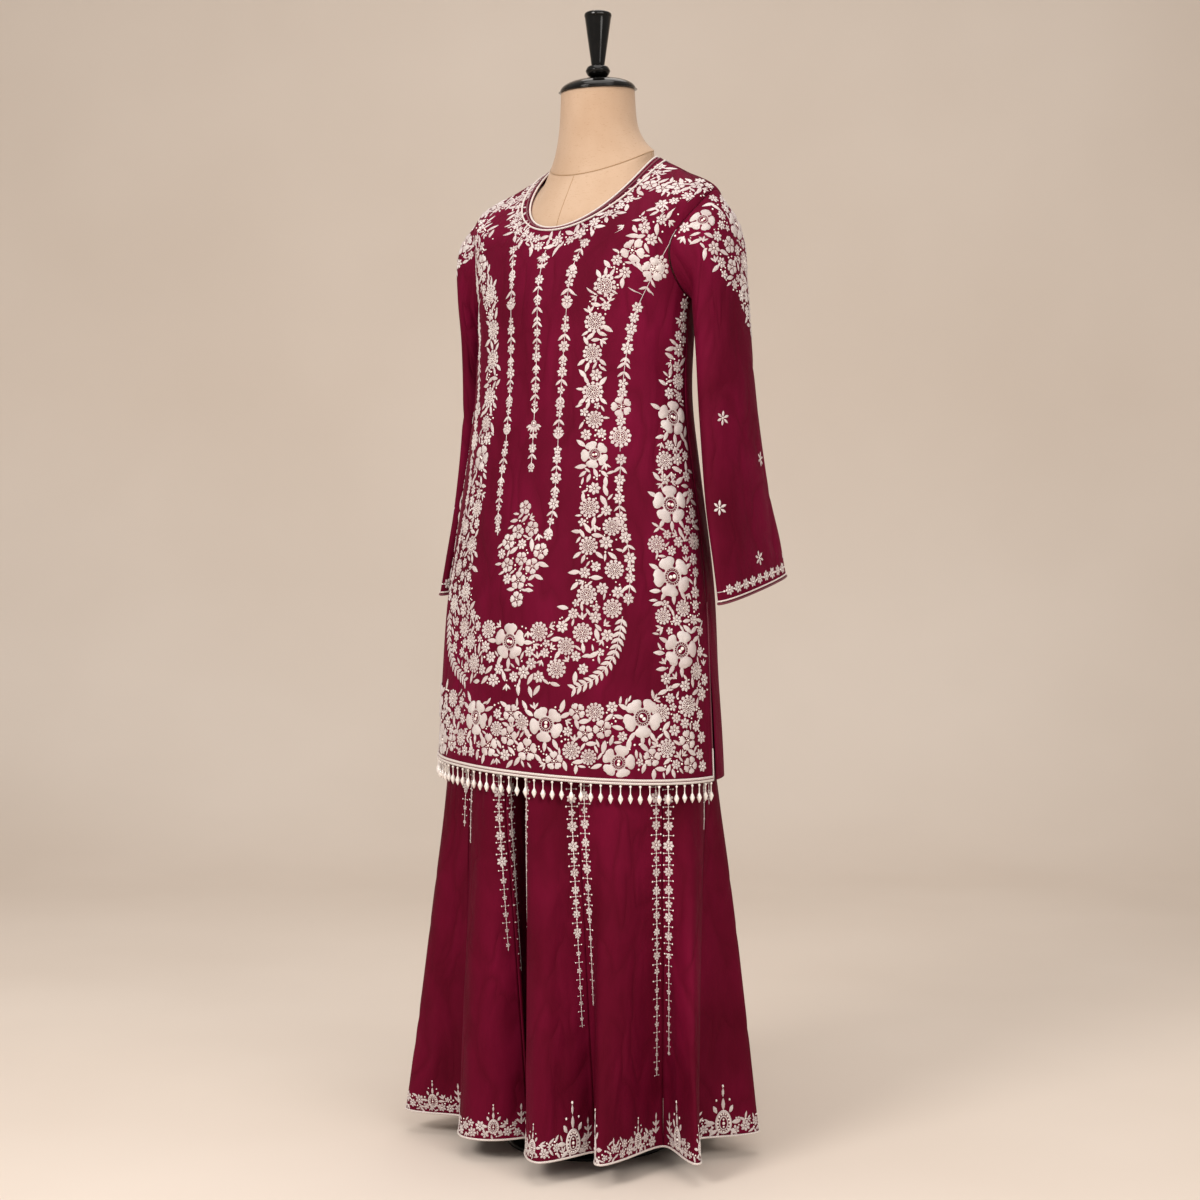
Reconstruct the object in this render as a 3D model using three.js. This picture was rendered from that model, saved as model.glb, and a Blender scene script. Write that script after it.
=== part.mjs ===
// A salwar kameez suit on a limbless tailor's form: a kameez with flared sleeves over a
// sharara, trousers cut in flared gores. Millimetres, +Z up, the front faces -Y and +X is
// the wearer's left. The origin is on the floor, under the middle of the whole.
import * as THREE from 'three';

// ---------------------------------------------------------------- driving dimensions
const AXIS_Y = 48;            // the neck's axis, behind the middle of the whole
const WALL = 2;               // cloth wall
const SEAM = 0.3;             // gap between two sewn pieces
const PIPING = 6;             // width of the edge piping
const PIPING_GAP = 0.5;       // between a piping and the curved panel that it lies on
const FRINGE_DROP = 27;       // reach of the hanging beads below the front hem
const FRINGE_WALL = 5;
const FRINGE_FORWARD = 2;     // the beads hang just ahead of the panel's middle
const ARMHOLE_CUT = 27;       // how far, in degrees, the armhole bites into a panel
const SLIT_SPREAD = 2.4;      // degrees by which each slit edge stands back at the hem
const BAND_TOP = 985;         // sharara waistband
const BAND_HEIGHT = 30;
const BAND_WALL = 3;
const BAND_HALF_WIDTH = 156;  // the yoke's oval where it meets the waistband
const BAND_HALF_DEPTH = 109;
const POLE_RADIUS = 12.5;
const BASE_RADIUS = 118;
const POLE_Y = -20;           // the pole, ahead of the neck and under the body's middle
const BASE_HEIGHT = 12;
const CAP_BASE = 1489.2;      // underside of the neck's cap
const CAP_HEIGHT = 19;
const CAP_TILT = 5;           // degrees by which the neck's cap leans forward
const DEGREE = Math.PI / 180;

const COLOURS = {
  georgette: 0x6e1530,
  ivory: 0xe9ddd0,
  formCloth: 0xdcb48c,
  black: 0x17130f,
};

/** Rows of values under named columns, as a list of objects. */
function table(columns, rows) {
  const names = columns.split(' ');
  return rows.map((row) => Object.fromEntries(names.map((name, i) => [name, row[i]])));
}

// Rings of the kameez, from the hem up. z at the front, side and back; half width; y of
// the front, back and side; the side seam's angle. crest is 2 for a ring that is smooth
// over the side and 1 for one that peaks there, as a neckline does on a shoulder. square
// is 1 for an oval ring and less for one with fuller corners. sway is how far the ring's
// right side is raised and its left side lowered.
const RING_COLUMNS = 'name zFront zSide zBack half front back side seam crest square sway';
const KAMEEZ = table(RING_COLUMNS, [
  ['hem', 533, 532, 532, 214, -216, 125, -45, 96, 2, 1, 10],
  ['thigh', 645, 645, 645, 209, -208, 118, -45, 95.5, 2, 1, 6],
  ['hip', 765, 765, 765, 202, -196, 108, -44, 95, 2, 1, 1],
  ['belly', 900, 900, 900, 187, -174, 92, -42, 94, 2, 1, 0],
  ['waist', 1030, 1030, 1030, 171, -156, 74, -40, 92, 2, 1, 0],
  ['ribs', 1120, 1115, 1112, 169, -149, 80, -34, 91, 2, 1, 0],
  ['armpit', 1180, 1182, 1180, 172, -146, 92, -26, 90, 2, 1, 0],
  ['chest', 1222, 1262, 1245, 187, -137, 98, -12, 90, 1.7, 1, 0],
  ['shoulder', 1252, 1330, 1305, 196, -123, 90, 2, 90, 1.3, 0.9, 0],
  ['yoke', 1268, 1363, 1344, 140, -114, 76, 12, 90, 1.05, 0.8, 0],
  ['neck', 1282, 1389, 1372, 87, -105, 60, 18, 90, 0.88, 0.74, 0],
]);
const HIP = 2;
const ARMPIT = 6;
const SHOULDER = 8;
const NECK = 10;

// The tailor's form inside it, up to the seam at the neck's foot.
const FORM = table(RING_COLUMNS, [
  ['underside', 800, 800, 800, 146, -134, 62, -36, 90, 2, 1, 0],
  ['seat', 860, 860, 860, 155, -142, 74, -36, 90, 2, 1, 0],
  ['top_of_hip', 960, 960, 960, 146, -136, 62, -36, 90, 2, 1, 0],
  ['waist', 1030, 1030, 1030, 138, -128, 56, -34, 90, 2, 1, 0],
  ['ribs', 1110, 1105, 1102, 148, -136, 66, -30, 90, 2, 1, 0],
  ['armpit', 1178, 1180, 1178, 158, -138, 80, -24, 90, 2, 1, 0],
  ['chest', 1218, 1256, 1240, 174, -129, 87, -10, 90, 1.7, 1, 0],
  ['shoulder', 1248, 1321, 1297, 183, -115, 80, 3, 90, 1.3, 0.9, 0],
  ['yoke', 1266, 1355, 1336, 132, -106, 68, 12, 90, 1.1, 0.85, 0],
  ['collar', 1300, 1381, 1371, 86, -94, 57, 18, 90, 1, 0.85, 0],
  ['neck_seam', 1362, 1398, 1412, 79, -58, 56, 19, 90, 1.1, 0.95, 0],
]);
const FORM_NECK = table(RING_COLUMNS, [
  ['foot', 1362, 1398, 1412, 79, -58, 56, 19, 90, 1.1, 0.95, 0],
  ['flare', 1386, 1414, 1427, 67, -55, 53, 9, 90, 1.3, 1, 0],
  ['throat', 1426, 1441, 1451, 57, -53, 52, 2, 90, 1.6, 1, 0],
  ['top', 1484, 1488.5, 1493, 52.5, -53, 52, 0, 90, 1, 1, 0],
]);

// Sections of each sleeve from the armhole down, as on the left side: the inner and outer
// line in x and z, the front and back fold in y, and how much lower the front hangs.
const SLEEVE_COLUMNS = 'name innerX innerZ outerX outerZ front back lean';
const LEFT_SLEEVE = table(SLEEVE_COLUMNS, [
  ['cap', 179, 1168, 223, 1290, -62, 54, 0],
  ['upper_arm', 183, 1138, 230, 1236, -61, 57, 0],
  ['biceps', 187, 1088, 235, 1154, -60, 60, 0],
  ['elbow', 193, 1008, 242, 1034, -63, 68, 0],
  ['forearm', 207, 904, 249, 912, -67, 82, 8],
  ['wrist', 221, 832, 256, 836, -67, 96, 14],
  ['cuff', 231, 779, 259, 780, -66, 106, 18],
]);
const RIGHT_SLEEVE = table(SLEEVE_COLUMNS, [
  ['cap', 179, 1168, 222, 1290, -60, 54, 0],
  ['upper_arm', 182, 1138, 227, 1236, -56, 60, 0],
  ['biceps', 184, 1088, 226, 1154, -48, 66, 0],
  ['elbow', 187, 1008, 227, 1034, -46, 80, 0],
  ['forearm', 201, 904, 238, 912, -50, 94, 6],
  ['wrist', 216, 832, 249, 836, -54, 104, 11],
  ['cuff', 227, 781, 257, 782, -57, 110, 15],
]);
const SLEEVE_SIDES = 16;

// Levels of a sharara leg from the hem up: the oval that both legs share, and how far the
// flutes are spread towards their places at the hem.
const LEG = table('name z halfX halfY midY flare', [
  ['hem', 30, 205, 160, -45, 1],
  ['ankle', 150, 205, 160, -45, 0.75],
  ['shin', 270, 205, 160, -45, 0.5],
  ['calf', 390, 205, 160, -45, 0.25],
  ['knee', 500, 204, 159, -45, 0.04],
  ['thigh', 620, 194, 149, -43, 0],
  ['crotch', 745, 172, 128, -38, 0],
]);
const CROTCH = 6;

// A leg's outline runs through a seam in each valley and the crest of each flute between
// two seams, then back along the inside leg. angle is a point's place on the shared oval;
// the inside has its own x and a share of the oval's depth instead.
const OUTLINE_COLUMNS = 'name angle insideX insideShare hemX hemY';
const LEFT_LEG = table(OUTLINE_COLUMNS, [
  ['front_corner', 5, 0, 0, 5, -187],
  ['flute', 15, 0, 0, 72, -246],
  ['seam', 27, 0, 0, 110, -184],
  ['flute', 44, 0, 0, 150, -206],
  ['seam', 64, 0, 0, 176, -106],
  ['flute', 81, 0, 0, 251, -130],
  ['seam', 99, 0, 0, 205, -42],
  ['flute', 119, 0, 0, 238, 48],
  ['seam', 139, 0, 0, 166, 72],
  ['flute', 158, 0, 0, 106, 150],
  ['back_corner', 176, 0, 0, 10, 104],
  ['inside', null, 9, 0.62, 14, 60],
  ['behind_pole', null, -20, 0.16, -21, -20],
  ['inside', null, 7, -0.3, 11, -84],
  ['inside', null, 16, -0.62, 28, -132],
]);
const RIGHT_LEG = table(OUTLINE_COLUMNS, [
  ['front_corner', 5, 0, 0, 6, -183],
  ['flute', 15, 0, 0, 78, -208],
  ['seam', 27, 0, 0, 148, -150],
  ['flute', 44, 0, 0, 238, -140],
  ['seam', 64, 0, 0, 206, -62],
  ['flute', 81, 0, 0, 251, 6],
  ['seam', 99, 0, 0, 186, 40],
  ['flute', 119, 0, 0, 192, 128],
  ['seam', 139, 0, 0, 128, 88],
  ['flute', 158, 0, 0, 76, 150],
  ['back_corner', 176, 0, 0, 12, 100],
  ['inside', null, 9, 0.62, 12, 60],
  ['behind_pole', null, 28, 0.16, 30, -20],
  ['inside', null, 11, -0.3, 10, -84],
  ['inside', null, 18, -0.62, 32, -132],
]);
const OUTLINE_STEP = 40;      // about how far apart two of the outline's points are
// Each gore runs from one seam to the next along the outline.
const GORES = [[0, 2], [2, 4], [4, 6], [6, 8], [8, 10], [10, 15]];

// ---------------------------------------------------------------- curves and surfaces
const lerp = THREE.MathUtils.lerp;

function catmullRom(a, b, c, d, u) {
  const cubic = -a + 3 * b - 3 * c + d;
  const square = 2 * a - 5 * b + 4 * c - d;
  return 0.5 * (2 * b + (c - a) * u + square * u * u + cubic * u * u * u);
}

/** The numbers of a table at a level between its rows, on a smooth curve. */
function atLevel(rows, level) {
  const i = Math.min(Math.floor(level), rows.length - 2);
  const row = (k) => rows[THREE.MathUtils.clamp(k, 0, rows.length - 1)];
  const near = [row(i - 1), row(i), row(i + 1), row(i + 2)];
  const numeric = Object.keys(rows[0]).filter((key) => typeof rows[0][key] === 'number');
  return Object.fromEntries(
    numeric.map((key) => [key, catmullRom(...near.map((r) => r[key]), level - i)]),
  );
}

/** A point on a table of rings; 0 degrees is the centre front, 90 the left side. */
function ringPoint(rings, level, degrees) {
  const ring = atLevel(rings, level);
  const c = Math.cos(degrees * DEGREE);
  const s = Math.sin(degrees * DEGREE);
  const [end, height] = c > 0 ? [ring.front, ring.zFront] : [ring.back, ring.zBack];
  return new THREE.Vector3(
    ring.half * s,
    lerp(ring.side, end, Math.abs(c) ** ring.square),
    lerp(ring.zSide, height, Math.abs(c) ** ring.crest) - ring.sway * s,
  );
}

/** The angle of a kameez panel's edge: slit, side seam, armhole or shoulder seam. */
function panelEdge(level, isBack) {
  const away = isBack ? 1 : -1;
  const slit = Math.max(0, HIP - level) / HIP * SLIT_SPREAD;
  const share = THREE.MathUtils.clamp((level - ARMPIT) / (SHOULDER - ARMPIT), 0, 1);
  const armhole = ARMHOLE_CUT * Math.sin(Math.PI * share) ** 0.6;
  return atLevel(KAMEEZ, level).seam + away * (slit + armhole);
}

/** A panel's edge drawn back by half a seam's gap. */
function trimmedEdge(level, isBack) {
  const edge = panelEdge(level, isBack);
  const perDegree = ringPoint(KAMEEZ, level, edge + 0.5)
    .distanceTo(ringPoint(KAMEEZ, level, edge - 0.5));
  return edge + (isBack ? 1 : -1) * SEAM / 2 / perDegree;
}

/** u runs from -1 to 1 across the front, and v is a level of the rings. */
function frontSurface(u, v) {
  return ringPoint(KAMEEZ, v, u * trimmedEdge(v, false));
}

function backSurface(u, v) {
  return ringPoint(KAMEEZ, v, 180 + u * (180 - trimmedEdge(v, true)));
}

/** The kameez panel's edge round the left armhole; 0 degrees is on top, 90 in front. */
function armholePoint(degrees) {
  const level = lerp(ARMPIT, SHOULDER, (1 + Math.cos(degrees * DEGREE)) / 2);
  return ringPoint(KAMEEZ, level, panelEdge(level, Math.sin(degrees * DEGREE) < 0));
}

/** The sleeve's first ring, just clear of the panels that it is sewn to. */
function sleeveHead(degrees) {
  const low = (1 - Math.cos(degrees * DEGREE)) / 2;
  const step = 2;
  const point = armholePoint(degrees);
  const along = armholePoint(degrees + step).sub(armholePoint(degrees - step)).normalize();
  const outward = new THREE.Vector3(1, 0, lerp(1, 0, low ** 0.5)).normalize();
  const inward = along.clone().cross(outward).normalize();
  const side = SEAM * (1.7 + 3 * Math.sin(degrees * DEGREE) ** 2);
  return point
    .addScaledVector(inward, -side * (1 - low))
    .addScaledVector(outward, SEAM * (2 + 8 * low));
}

/** A point of a sleeve as on the left; v is 0 at the armhole and 7 at the cuff. */
function sleevePoint(sections, degrees, v) {
  const c = Math.cos(degrees * DEGREE);
  const s = Math.sin(degrees * DEGREE);
  const section = (k) => {
    if (k <= 0) {
      return sleeveHead(degrees);
    }
    const row = sections[Math.min(k, sections.length) - 1];
    return new THREE.Vector3(
      lerp(row.innerX, row.outerX, (1 + c) / 2),
      lerp(row.back, row.front, (1 + s) / 2),
      lerp(row.innerZ, row.outerZ, (1 + c) / 2) - row.lean * s,
    );
  };
  const i = Math.min(Math.floor(v), sections.length - 1);
  const near = [section(i - 1), section(i), section(i + 1), section(i + 2)];
  const mix = (axis) => catmullRom(...near.map((point) => point[axis]), v - i);
  return new THREE.Vector3(mix('x'), mix('y'), mix('z'));
}

/** A point of a leg; u counts along the outline's points and v is a level. */
function legPoint(outline, side, u, v) {
  const level = atLevel(LEG, v);
  const control = (k) => {
    const point = outline[((k % outline.length) + outline.length) % outline.length];
    const inside = point.angle === null;
    const topX = inside ? point.insideX : level.halfX * Math.sin(point.angle * DEGREE);
    const share = inside ? point.insideShare : -Math.cos(point.angle * DEGREE);
    const topY = level.midY + level.halfY * share;
    return [lerp(topX, point.hemX, level.flare), lerp(topY, point.hemY, level.flare)];
  };
  const i = Math.floor(u);
  const near = [control(i - 1), control(i), control(i + 1), control(i + 2)];
  const mix = (axis) => catmullRom(...near.map((point) => point[axis]), u - i);
  return new THREE.Vector3(side * mix(0), mix(1), level.z);
}

/** Values from a to b in equal steps. */
function steps(a, b, count) {
  return Array.from({ length: count + 1 }, (_, i) => lerp(a, b, i / count));
}

// ---------------------------------------------------------------- solids
function closedMesh(positions, triangles) {
  const geometry = new THREE.BufferGeometry();
  geometry.setAttribute('position', new THREE.Float32BufferAttribute(positions, 3));
  geometry.setIndex(triangles);
  geometry.computeVertexNormals();
  return geometry;
}

/**
 * A wall along a surface. Its outer face is where u goes right and v goes up. lift moves
 * it off the surface, for what lies on a panel.
 */
function wall(surface, us, vs, { ring = false, lift = 0, thickness = WALL } = {}) {
  const uStep = 1e-3 * (us.at(-1) - us[0]);
  const vStep = 1e-3 * (vs.at(-1) - vs[0]);
  const outer = [];
  const inner = [];
  for (const v of vs) {
    for (const u of us) {
      const du = surface(u + uStep, v).sub(surface(u - uStep, v));
      const dv = surface(u, v + vStep).sub(surface(u, v - vStep));
      const normal = du.cross(dv).normalize();
      const point = surface(u, v).addScaledVector(normal, lift);
      outer.push(...point.clone().addScaledVector(normal, thickness / 2).toArray());
      inner.push(...point.clone().addScaledVector(normal, -thickness / 2).toArray());
    }
  }
  const across = us.length;
  const last = vs.length - 1;
  const shift = across * vs.length;
  const triangles = [];
  const quad = (a, b, c, d) => triangles.push(a, b, c, a, c, d);
  const at = (i, j) => (i % across) + j * across;
  const columns = ring ? across : across - 1;
  for (let j = 0; j < last; j += 1) {
    for (let i = 0; i < columns; i += 1) {
      const [a, b, c, d] = [at(i, j), at(i + 1, j), at(i + 1, j + 1), at(i, j + 1)];
      quad(a, b, c, d);
      quad(a + shift, d + shift, c + shift, b + shift);
    }
  }
  const rim = (a, b) => quad(b, a, a + shift, b + shift);
  for (let i = 0; i < columns; i += 1) {
    rim(at(i, 0), at(i + 1, 0));
    rim(at(i + 1, last), at(i, last));
  }
  for (let j = 0; j < last && !ring; j += 1) {
    rim(at(across - 1, j), at(across - 1, j + 1));
    rim(at(0, j + 1), at(0, j));
  }
  return closedMesh([...outer, ...inner], triangles);
}

/** A filled body through a table's rings, closed by a fan at each end. */
function filled(rings, around, levels) {
  const positions = [];
  const triangles = [];
  for (const level of levels) {
    for (let i = 0; i < around; i += 1) {
      positions.push(...ringPoint(rings, level, i / around * 360).toArray());
    }
  }
  for (let j = 0; j < levels.length - 1; j += 1) {
    for (let i = 0; i < around; i += 1) {
      const next = (i + 1) % around;
      const [a, b] = [i + j * around, next + j * around];
      triangles.push(a, b, b + around, a, b + around, a + around);
    }
  }
  const fan = (start, isTop) => {
    const middle = positions.length / 3;
    const sum = new THREE.Vector3();
    for (let i = 0; i < around; i += 1) {
      sum.add(new THREE.Vector3().fromArray(positions, 3 * (start + i)));
    }
    positions.push(...sum.divideScalar(around).toArray());
    for (let i = 0; i < around; i += 1) {
      const [a, b] = [start + i, start + (i + 1) % around];
      triangles.push(...(isTop ? [a, b, middle] : [b, a, middle]));
    }
  };
  fan(0, false);
  fan((levels.length - 1) * around, true);
  return closedMesh(positions, triangles);
}

/** A turned piece about the vertical axis from pairs of radius and height. */
function turned(profile, around) {
  const points = profile.map(([radius, height]) => new THREE.Vector2(radius, height));
  return new THREE.LatheGeometry(points, around).rotateX(Math.PI / 2);
}

// ---------------------------------------------------------------- materials and pieces
function finish(color, roughness, metalness = 0) {
  return new THREE.MeshStandardMaterial({
    color, roughness, metalness, side: THREE.DoubleSide,
  });
}
const georgette = () => finish(COLOURS.georgette, 0.75);
const ivory = () => finish(COLOURS.ivory, 0.6);
const formCloth = () => finish(COLOURS.formCloth, 0.85);
const lacquer = () => finish(COLOURS.black, 0.2);

const suit = new THREE.Group();
suit.position.y = AXIS_Y;

function add(name, geometry, material) {
  const mesh = new THREE.Mesh(geometry, material);
  mesh.name = name;
  suit.add(mesh);
  return mesh;
}

/** The tailor's form with its neck, cap and handle, on a pole and a round base. */
function addForm() {
  add('form_torso', filled(FORM, 32, steps(0, 10, 20)), formCloth());
  const neck = add('form_neck', filled(FORM_NECK, 32, steps(0, 3, 6)), formCloth());
  neck.position.z = SEAM;

  const cap = add('neck_cap', turned([
    [0, 0], [52, 0], [53.6, 1.5], [53.6, 4], [50, 8.5], [42, 13], [30, 16.5], [15, 18.4], [0, CAP_HEIGHT],
  ], 32), lacquer());
  cap.position.z = CAP_BASE;
  cap.rotation.x = CAP_TILT * DEGREE;

  const handle = add('cap_handle', turned([
    [0, 0], [8, 0], [14, 2.5], [17.2, 8], [17.2, 10.5], [14.5, 15], [9.6, 17.4], [9.6, 19],
    [18.6, 84], [19.5, 88], [18.6, 91.5], [14, 93.6], [7, 94.6], [0, 95],
  ], 24), lacquer());
  handle.position.z = CAP_BASE + CAP_HEIGHT + 0.8;

  const underside = FORM[0].zSide - SEAM;
  const poleLength = underside - BASE_HEIGHT - SEAM;
  const pole = add('stand_pole', new THREE.CylinderGeometry(
    POLE_RADIUS, POLE_RADIUS, poleLength, 24,
  ).rotateX(Math.PI / 2), lacquer());
  pole.position.set(0, POLE_Y, BASE_HEIGHT + SEAM + poleLength / 2);
  const base = add('stand_base', turned([
    [0, 0], [BASE_RADIUS, 0], [BASE_RADIUS, 4], [BASE_RADIUS - 4, 8], [30, BASE_HEIGHT],
    [0, BASE_HEIGHT],
  ], 48), lacquer());
  base.position.y = POLE_Y;
}

/** Levels of the kameez panels: even below, then closer round the armhole's curve. */
function kameezLevels() {
  const armhole = steps(0, 1, 8).map((k) => (1 - Math.cos(Math.PI * k)) / 2);
  return [
    ...steps(0, ARMPIT, 10),
    ...armhole.slice(1).map((k) => lerp(ARMPIT, SHOULDER, k)),
    ...steps(SHOULDER, NECK, 4).slice(1),
  ];
}

function addKameez() {
  const onTop = { lift: WALL + PIPING_GAP };
  const across = steps(-1, 1, 18);
  const levels = kameezLevels();
  add('kameez_front', wall(frontSurface, across, levels), georgette());
  add('kameez_back', wall(backSurface, steps(-1, 1, 14), levels), georgette());
  const neckline = (u, v) => ringPoint(KAMEEZ, v, u);
  const necklineTurns = steps(-180, 180, 36).slice(0, -1);
  const pipingLevels = 0.42;
  add('neck_piping', wall(neckline, necklineTurns, [NECK - pipingLevels, NECK], {
    ring: true, ...onTop,
  }), ivory());

  const hemLevel = PIPING / (KAMEEZ[1].zFront - KAMEEZ[0].zFront);
  const mitre = 1.08;
  const slitShare = 0.02;
  add('front_hem_piping', wall(frontSurface, across, [0, hemLevel], onTop), ivory());
  for (const [name, side] of [['left', 1], ['right', -1]]) {
    const edge = side > 0 ? [1 - slitShare, 1] : [-1, slitShare - 1];
    const up = [hemLevel * mitre, ...levels.filter((v) => v > hemLevel && v < HIP), HIP];
    add(`slit_piping_${name}`, wall(frontSurface, edge, up, onTop), ivory());
  }

  const fringe = (u, v) => {
    const point = frontSurface(u, 0);
    point.z += v;
    return point;
  };
  add('drop_fringe', wall(fringe, steps(-1, 1, 20), [-SEAM - WALL - FRINGE_DROP, -SEAM - WALL], {
    thickness: FRINGE_WALL, lift: FRINGE_FORWARD,
  }), ivory());
}

/** Mirrors a surface for the wearer's right, reversing u so that it still faces out. */
function onSide(surface, side) {
  return (u, v) => {
    const point = surface(side * u, v);
    point.x *= side;
    return point;
  };
}

function addSleeves() {
  const turns = steps(0, 360, SLEEVE_SIDES).slice(0, -1);
  for (const [name, side, sections] of [['left', 1, LEFT_SLEEVE], ['right', -1, RIGHT_SLEEVE]]) {
    const cuff = sections.length;
    const cuffShare = PIPING / (sections[cuff - 2].innerZ - sections[cuff - 1].innerZ);
    const surface = onSide((u, v) => sleevePoint(sections, u, v), side);
    const levels = [0, 0.35, 1, 1.5, 2, 3, 4, 5, 6, cuff];
    add(`sleeve_${name}`, wall(surface, turns, levels, { ring: true }), georgette());
    add(`cuff_piping_${name}`, wall(surface, turns, [cuff - cuffShare, cuff], {
      ring: true, lift: WALL + SEAM,
    }), ivory());
  }
}

/** One gore between two seams, each side drawn back by half a seam's gap. */
function goreWall(outline, side, [from, to], levels, options) {
  const surface = (u, v) => legPoint(outline, side, u, v);
  const columns = to - from > 2 ? 10 : 6;
  const trim = SEAM / 2 / OUTLINE_STEP;
  const us = steps(from + trim, to - trim, columns);
  return wall(surface, side > 0 ? us : us.reverse(), levels, options);
}

function addSharara() {
  const levels = [0, 0.5, 1, 2, 3, 4, 5, CROTCH];
  const legs = [['left', 1, LEFT_LEG], ['right', -1, RIGHT_LEG]];
  for (const [name, side, outline] of legs) {
    GORES.forEach((gore, i) => {
      add(`gore_${name}_${i + 1}`, goreWall(outline, side, gore, levels), georgette());
    });
    const surface = (u, v) => legPoint(outline, side, u, v);
    const us = [...steps(0, 10, 30), ...steps(10, outline.length, 10).slice(1, -1)];
    const hemTop = PIPING / (LEG[1].z - LEG[0].z);
    add(`leg_piping_${name}`, wall(surface, side > 0 ? us : us.reverse(), [0, hemTop], {
      ring: true, lift: WALL + PIPING_GAP,
    }), ivory());
  }

  const top = BAND_TOP - BAND_HEIGHT - SEAM;
  const bottom = LEG[CROTCH].z + SEAM;
  const yoke = (u, v) => {
    const share = (v - bottom) / (top - bottom);
    const angle = u * DEGREE;
    return new THREE.Vector3(
      lerp(LEG[CROTCH].halfX, BAND_HALF_WIDTH, share) * Math.sin(angle),
      LEG[CROTCH].midY - lerp(LEG[CROTCH].halfY, BAND_HALF_DEPTH, share) * Math.cos(angle),
      v,
    );
  };
  const yokeLevels = steps(bottom, top, 2);
  const seamTurn = SEAM / 2 / BAND_HALF_DEPTH / DEGREE;
  const half = 90 - seamTurn;
  add('yoke_front', wall(yoke, steps(-half, half, 10), yokeLevels), georgette());
  add('yoke_back', wall(yoke, steps(180 - half, 180 + half, 10), yokeLevels), georgette());
  const bandTurns = steps(0, 360, 24).slice(0, -1);
  const band = (u, v) => {
    const point = yoke(u, top);
    point.z = v;
    return point;
  };
  add('waistband', wall(band, bandTurns, [top + SEAM, BAND_TOP], {
    ring: true, thickness: BAND_WALL,
  }), georgette());
}

addForm();
addKameez();
addSleeves();
addSharara();

export default suit;
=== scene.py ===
# %% [markdown]
# # Salwar kameez suit on a tailor's form
# A maroon georgette kameez with flared sleeves over a sharara, embroidered in ivory thread
# and beads, on a limbless form. Metres, +Z up; the front faces -Y and +X is the wearer's left.
#
# Every piece lies on the frame's solid for it. The tables below give the same rings and outlines
# as the solids have, and this script adds what a solid can't show: thin cloth with its creases,
# stitches that stand proud of it, cords, beads and their finishes.

# %% Load the frame
import math

import bpy
import numpy as np
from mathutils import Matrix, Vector


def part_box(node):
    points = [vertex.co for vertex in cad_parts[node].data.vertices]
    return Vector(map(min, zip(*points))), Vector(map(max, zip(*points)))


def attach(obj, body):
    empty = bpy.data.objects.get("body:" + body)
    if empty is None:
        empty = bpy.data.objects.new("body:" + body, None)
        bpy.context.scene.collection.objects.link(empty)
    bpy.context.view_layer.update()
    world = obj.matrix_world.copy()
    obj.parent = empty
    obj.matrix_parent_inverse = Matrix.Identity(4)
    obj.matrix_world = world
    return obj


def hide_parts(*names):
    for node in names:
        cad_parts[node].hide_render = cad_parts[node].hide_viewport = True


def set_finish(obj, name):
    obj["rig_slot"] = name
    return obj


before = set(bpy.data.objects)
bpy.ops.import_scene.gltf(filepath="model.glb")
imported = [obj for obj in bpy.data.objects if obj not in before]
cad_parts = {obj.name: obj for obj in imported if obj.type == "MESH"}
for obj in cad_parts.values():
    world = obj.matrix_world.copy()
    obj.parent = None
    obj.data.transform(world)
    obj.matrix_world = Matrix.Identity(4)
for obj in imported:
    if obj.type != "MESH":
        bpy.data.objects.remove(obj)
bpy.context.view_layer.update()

MM = 0.001
HANDLE_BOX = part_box("cap_handle")
AXIS_Y = (HANDLE_BOX[0].y + HANDLE_BOX[1].y) / 2      # the neck's axis
CLOTH_THICKNESS = 1.2 * MM
TAU = 2 * math.pi


# %% [markdown]
# ## Colours and materials
# A finish is a tree of shader nodes that ends in one Principled BSDF. It could be painted as an
# image, but a pattern worked out by nodes is true to scale and stays sharp from near. Colours are
# written in sRGB hex, as on a colour card, and one function turns them to the linear values that
# the shader wants. A pattern's size is given in millimetres of the real thing.

# %% Colours and pattern sizes
def srgb(text):
    """A linear colour from an sRGB hex string."""
    parts = [int(text[i:i + 2], 16) / 255 for i in (1, 3, 5)]
    linear = [p / 12.92 if p <= 0.04045 else ((p + 0.055) / 1.055) ** 2.4 for p in parts]
    return (*linear, 1.0)


def stripes(spacing):
    """A wave texture's scale for bands so many mm apart."""
    return TAU / (20 * spacing * MM)


def patches(width, height, depth=None):
    """A noise texture's stretch for patches of about so many mm."""
    return 1 / (width * MM), 1 / (height * MM), 1 / (depth * MM) if depth else 1


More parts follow.
